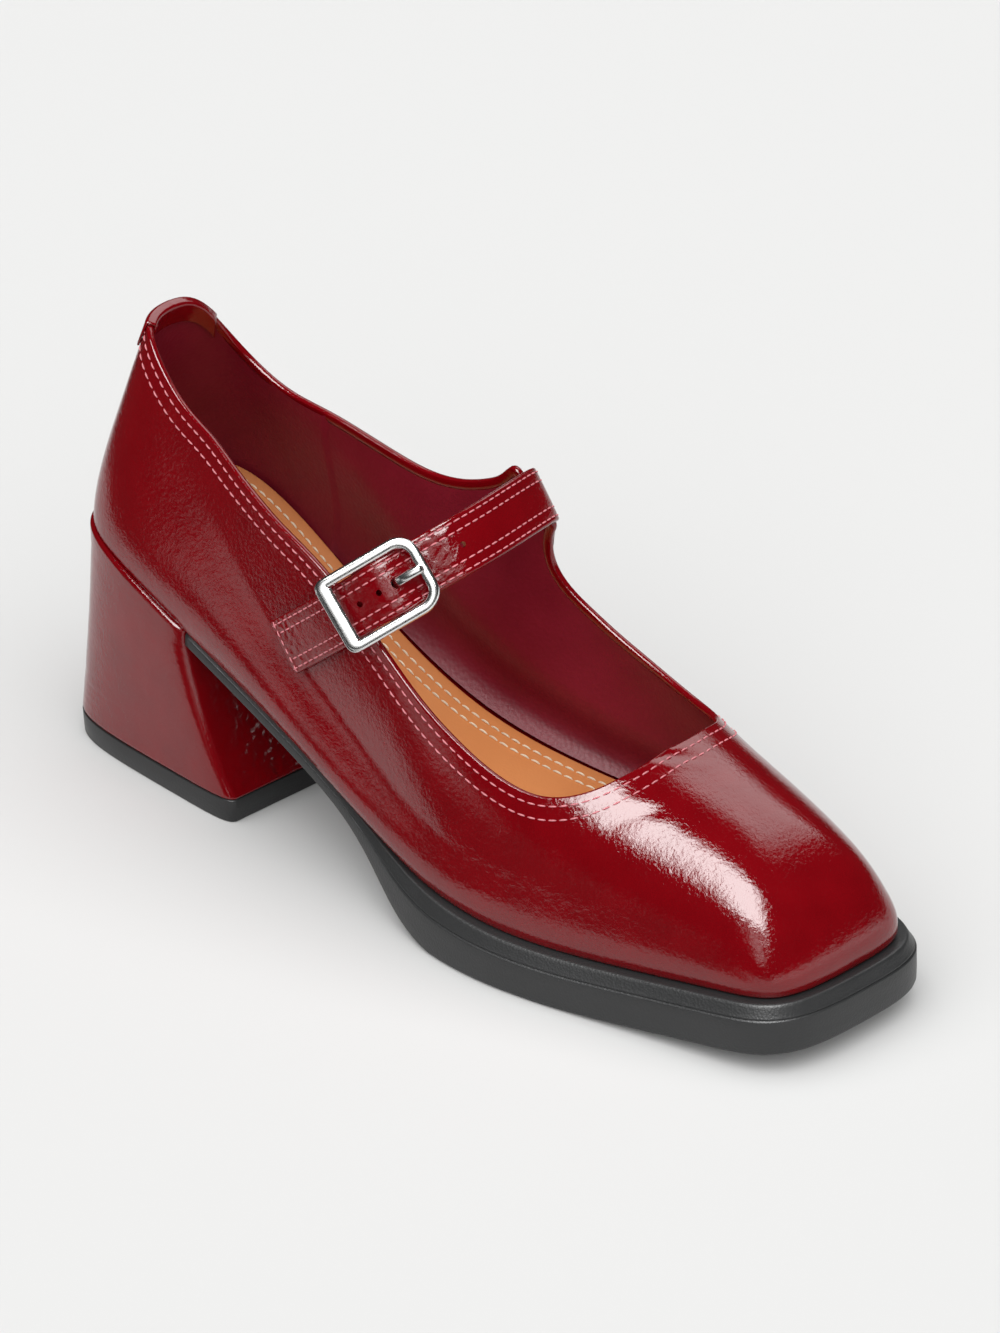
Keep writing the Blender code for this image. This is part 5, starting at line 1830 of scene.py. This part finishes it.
def smooth_path(points, count):
    """Points at an even pace along a smooth line through a few."""
    rows = np.asarray(points, float)
    line = spline_open(rows, np.linspace(0, len(rows) - 1, count))
    line[0], line[-1] = rows[0], rows[-1]
    return line


def make_frame(finish):
    places = dense_outline(frame_line(), FRAME_PACE)
    tangents = unit(np.roll(places, -1, axis=0) - np.roll(places, 1, axis=0))
    plane = np.array([BUCKLE_RUN, BUCKLE_ACROSS])
    points = BUCKLE_MIDDLE + places @ plane + BUCKLE_FACE * FRAME_LIFT
    widths = np.stack([tangents[:, 1], -tangents[:, 0]], -1) @ plane
    flat = -BUCKLE_LENGTH / 2 + RAIL_THICKNESS * FLAT_START - places[:, 0]
    flat = np.clip(flat / (RAIL_THICKNESS * FLAT_BLEND), 0, 1)
    half_widths = RAIL_WIDTH / 2 + (FLAT_BAR_WIDTH - RAIL_THICKNESS) / 2 * flat
    sizes = [(half_width, RAIL_THICKNESS / 2) for half_width in half_widths]
    faces_up = [BUCKLE_FACE] * len(places)
    rail_points, rail_faces = tube(points, widths, faces_up, sizes, closed=True, power=RAIL_SQUARENESS)
    half = BUCKLE_WIDTH / 2 - RAIL_THICKNESS / 2
    start = BUCKLE_MIDDLE + BUCKLE_RUN * CENTRE_BAR_OFFSET + BUCKLE_FACE * FRAME_LIFT
    turned = [(-a, b) for a, b in CENTRE_BAR] + list(CENTRE_BAR[::-1])
    bar = [start + BUCKLE_ACROSS * half * a - BUCKLE_FACE * BAR_DROP * b for a, b in turned]
    bar = smooth_path(bar, BAR_POINTS)
    bar_points, bar_faces = rod(bar, CENTRE_BAR_THICKNESS / 2)
    faces = rail_faces + [[corner + len(rail_points) for corner in face] for face in bar_faces]
    points = np.concatenate([rail_points, bar_points])
    piece = new_piece("buckle_frame_nickel", points, faces, finish)
    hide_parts("buckle_frame")


def make_prong(finish):
    bar = BUCKLE_MIDDLE + BUCKLE_RUN * CENTRE_BAR_OFFSET + BUCKLE_FACE * (FRAME_LIFT - BAR_DROP)
    radius = CENTRE_BAR_THICKNESS / 2 + GAP + PRONG_THICKNESS / 2
    places = []
    start, sweep = np.radians(PRONG_LOOP)
    for turn in np.linspace(start, start + sweep, PRONG_LOOP_STEPS):
        places.append(bar + (BUCKLE_RUN * math.cos(turn) + BUCKLE_FACE * math.sin(turn)) * radius)
    rest = FRAME_LIFT + RAIL_THICKNESS / 2 + GAP + PRONG_THICKNESS / 2
    for along, rise in PRONG:
        run = BUCKLE_RUN * PRONG_HOLE_OFFSET * (1 + along)
        places.append(BUCKLE_MIDDLE + run + BUCKLE_FACE * rest * rise)
    line = smooth_path(places, PRONG_POINTS)
    tip = np.clip((np.linspace(0, 1, PRONG_POINTS) - 1 + PRONG_TIP) / PRONG_TIP, 0, 1)
    girth = np.sqrt(np.clip(1 - (tip * TIP_REACH) ** 2, TIP_LEAST, 1))
    runs = unit(np.gradient(line, axis=0))
    widths = [BUCKLE_ACROSS] * len(line)
    tops = np.cross(runs, BUCKLE_ACROSS)
    sizes = [(PRONG_WIDTH / 2 * g, PRONG_THICKNESS / 2 * g) for g in girth]
    points, faces = tube(line, widths, tops, sizes, power=PRONG_SQUARENESS)
    piece = new_piece("buckle_prong_nickel", points, faces, finish)
    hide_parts("buckle_prong")


NICKEL_TONES = ((0.72, 0.72, 0.71), (0.84, 0.84, 0.83))


def polished_metal(name):
    """Polished nickel plate with faint wiping marks."""
    made, nodes, links, shader = new_paint(name)
    set_inputs(shader, {"Metallic": 1.0})
    place = nodes.new("ShaderNodeTexCoord")
    wiping = new_node(nodes, "ShaderNodeTexNoise", {"Scale": 420.0, "Detail": 4.0})
    links.new(place.outputs["Object"], wiping.inputs["Vector"])
    marks = wiping.outputs["Fac"]
    links.new(tone_between(nodes, links, marks, NICKEL_TONES), shader.inputs["Base Color"])
    links.new(rough_between(nodes, links, marks, 0.14, 0.24), shader.inputs["Roughness"])
    return made


nickel = polished_metal("polished_nickel")
make_frame(nickel)
make_prong(nickel)

# Buckle tab
# Folded loop of the upper's leather round the centre bar, which holds the buckle to
# the outer quarter.

loop_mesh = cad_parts["buckle_tab"].data
loop_mesh.materials.clear()
loop_mesh.materials.append(strap_patent)
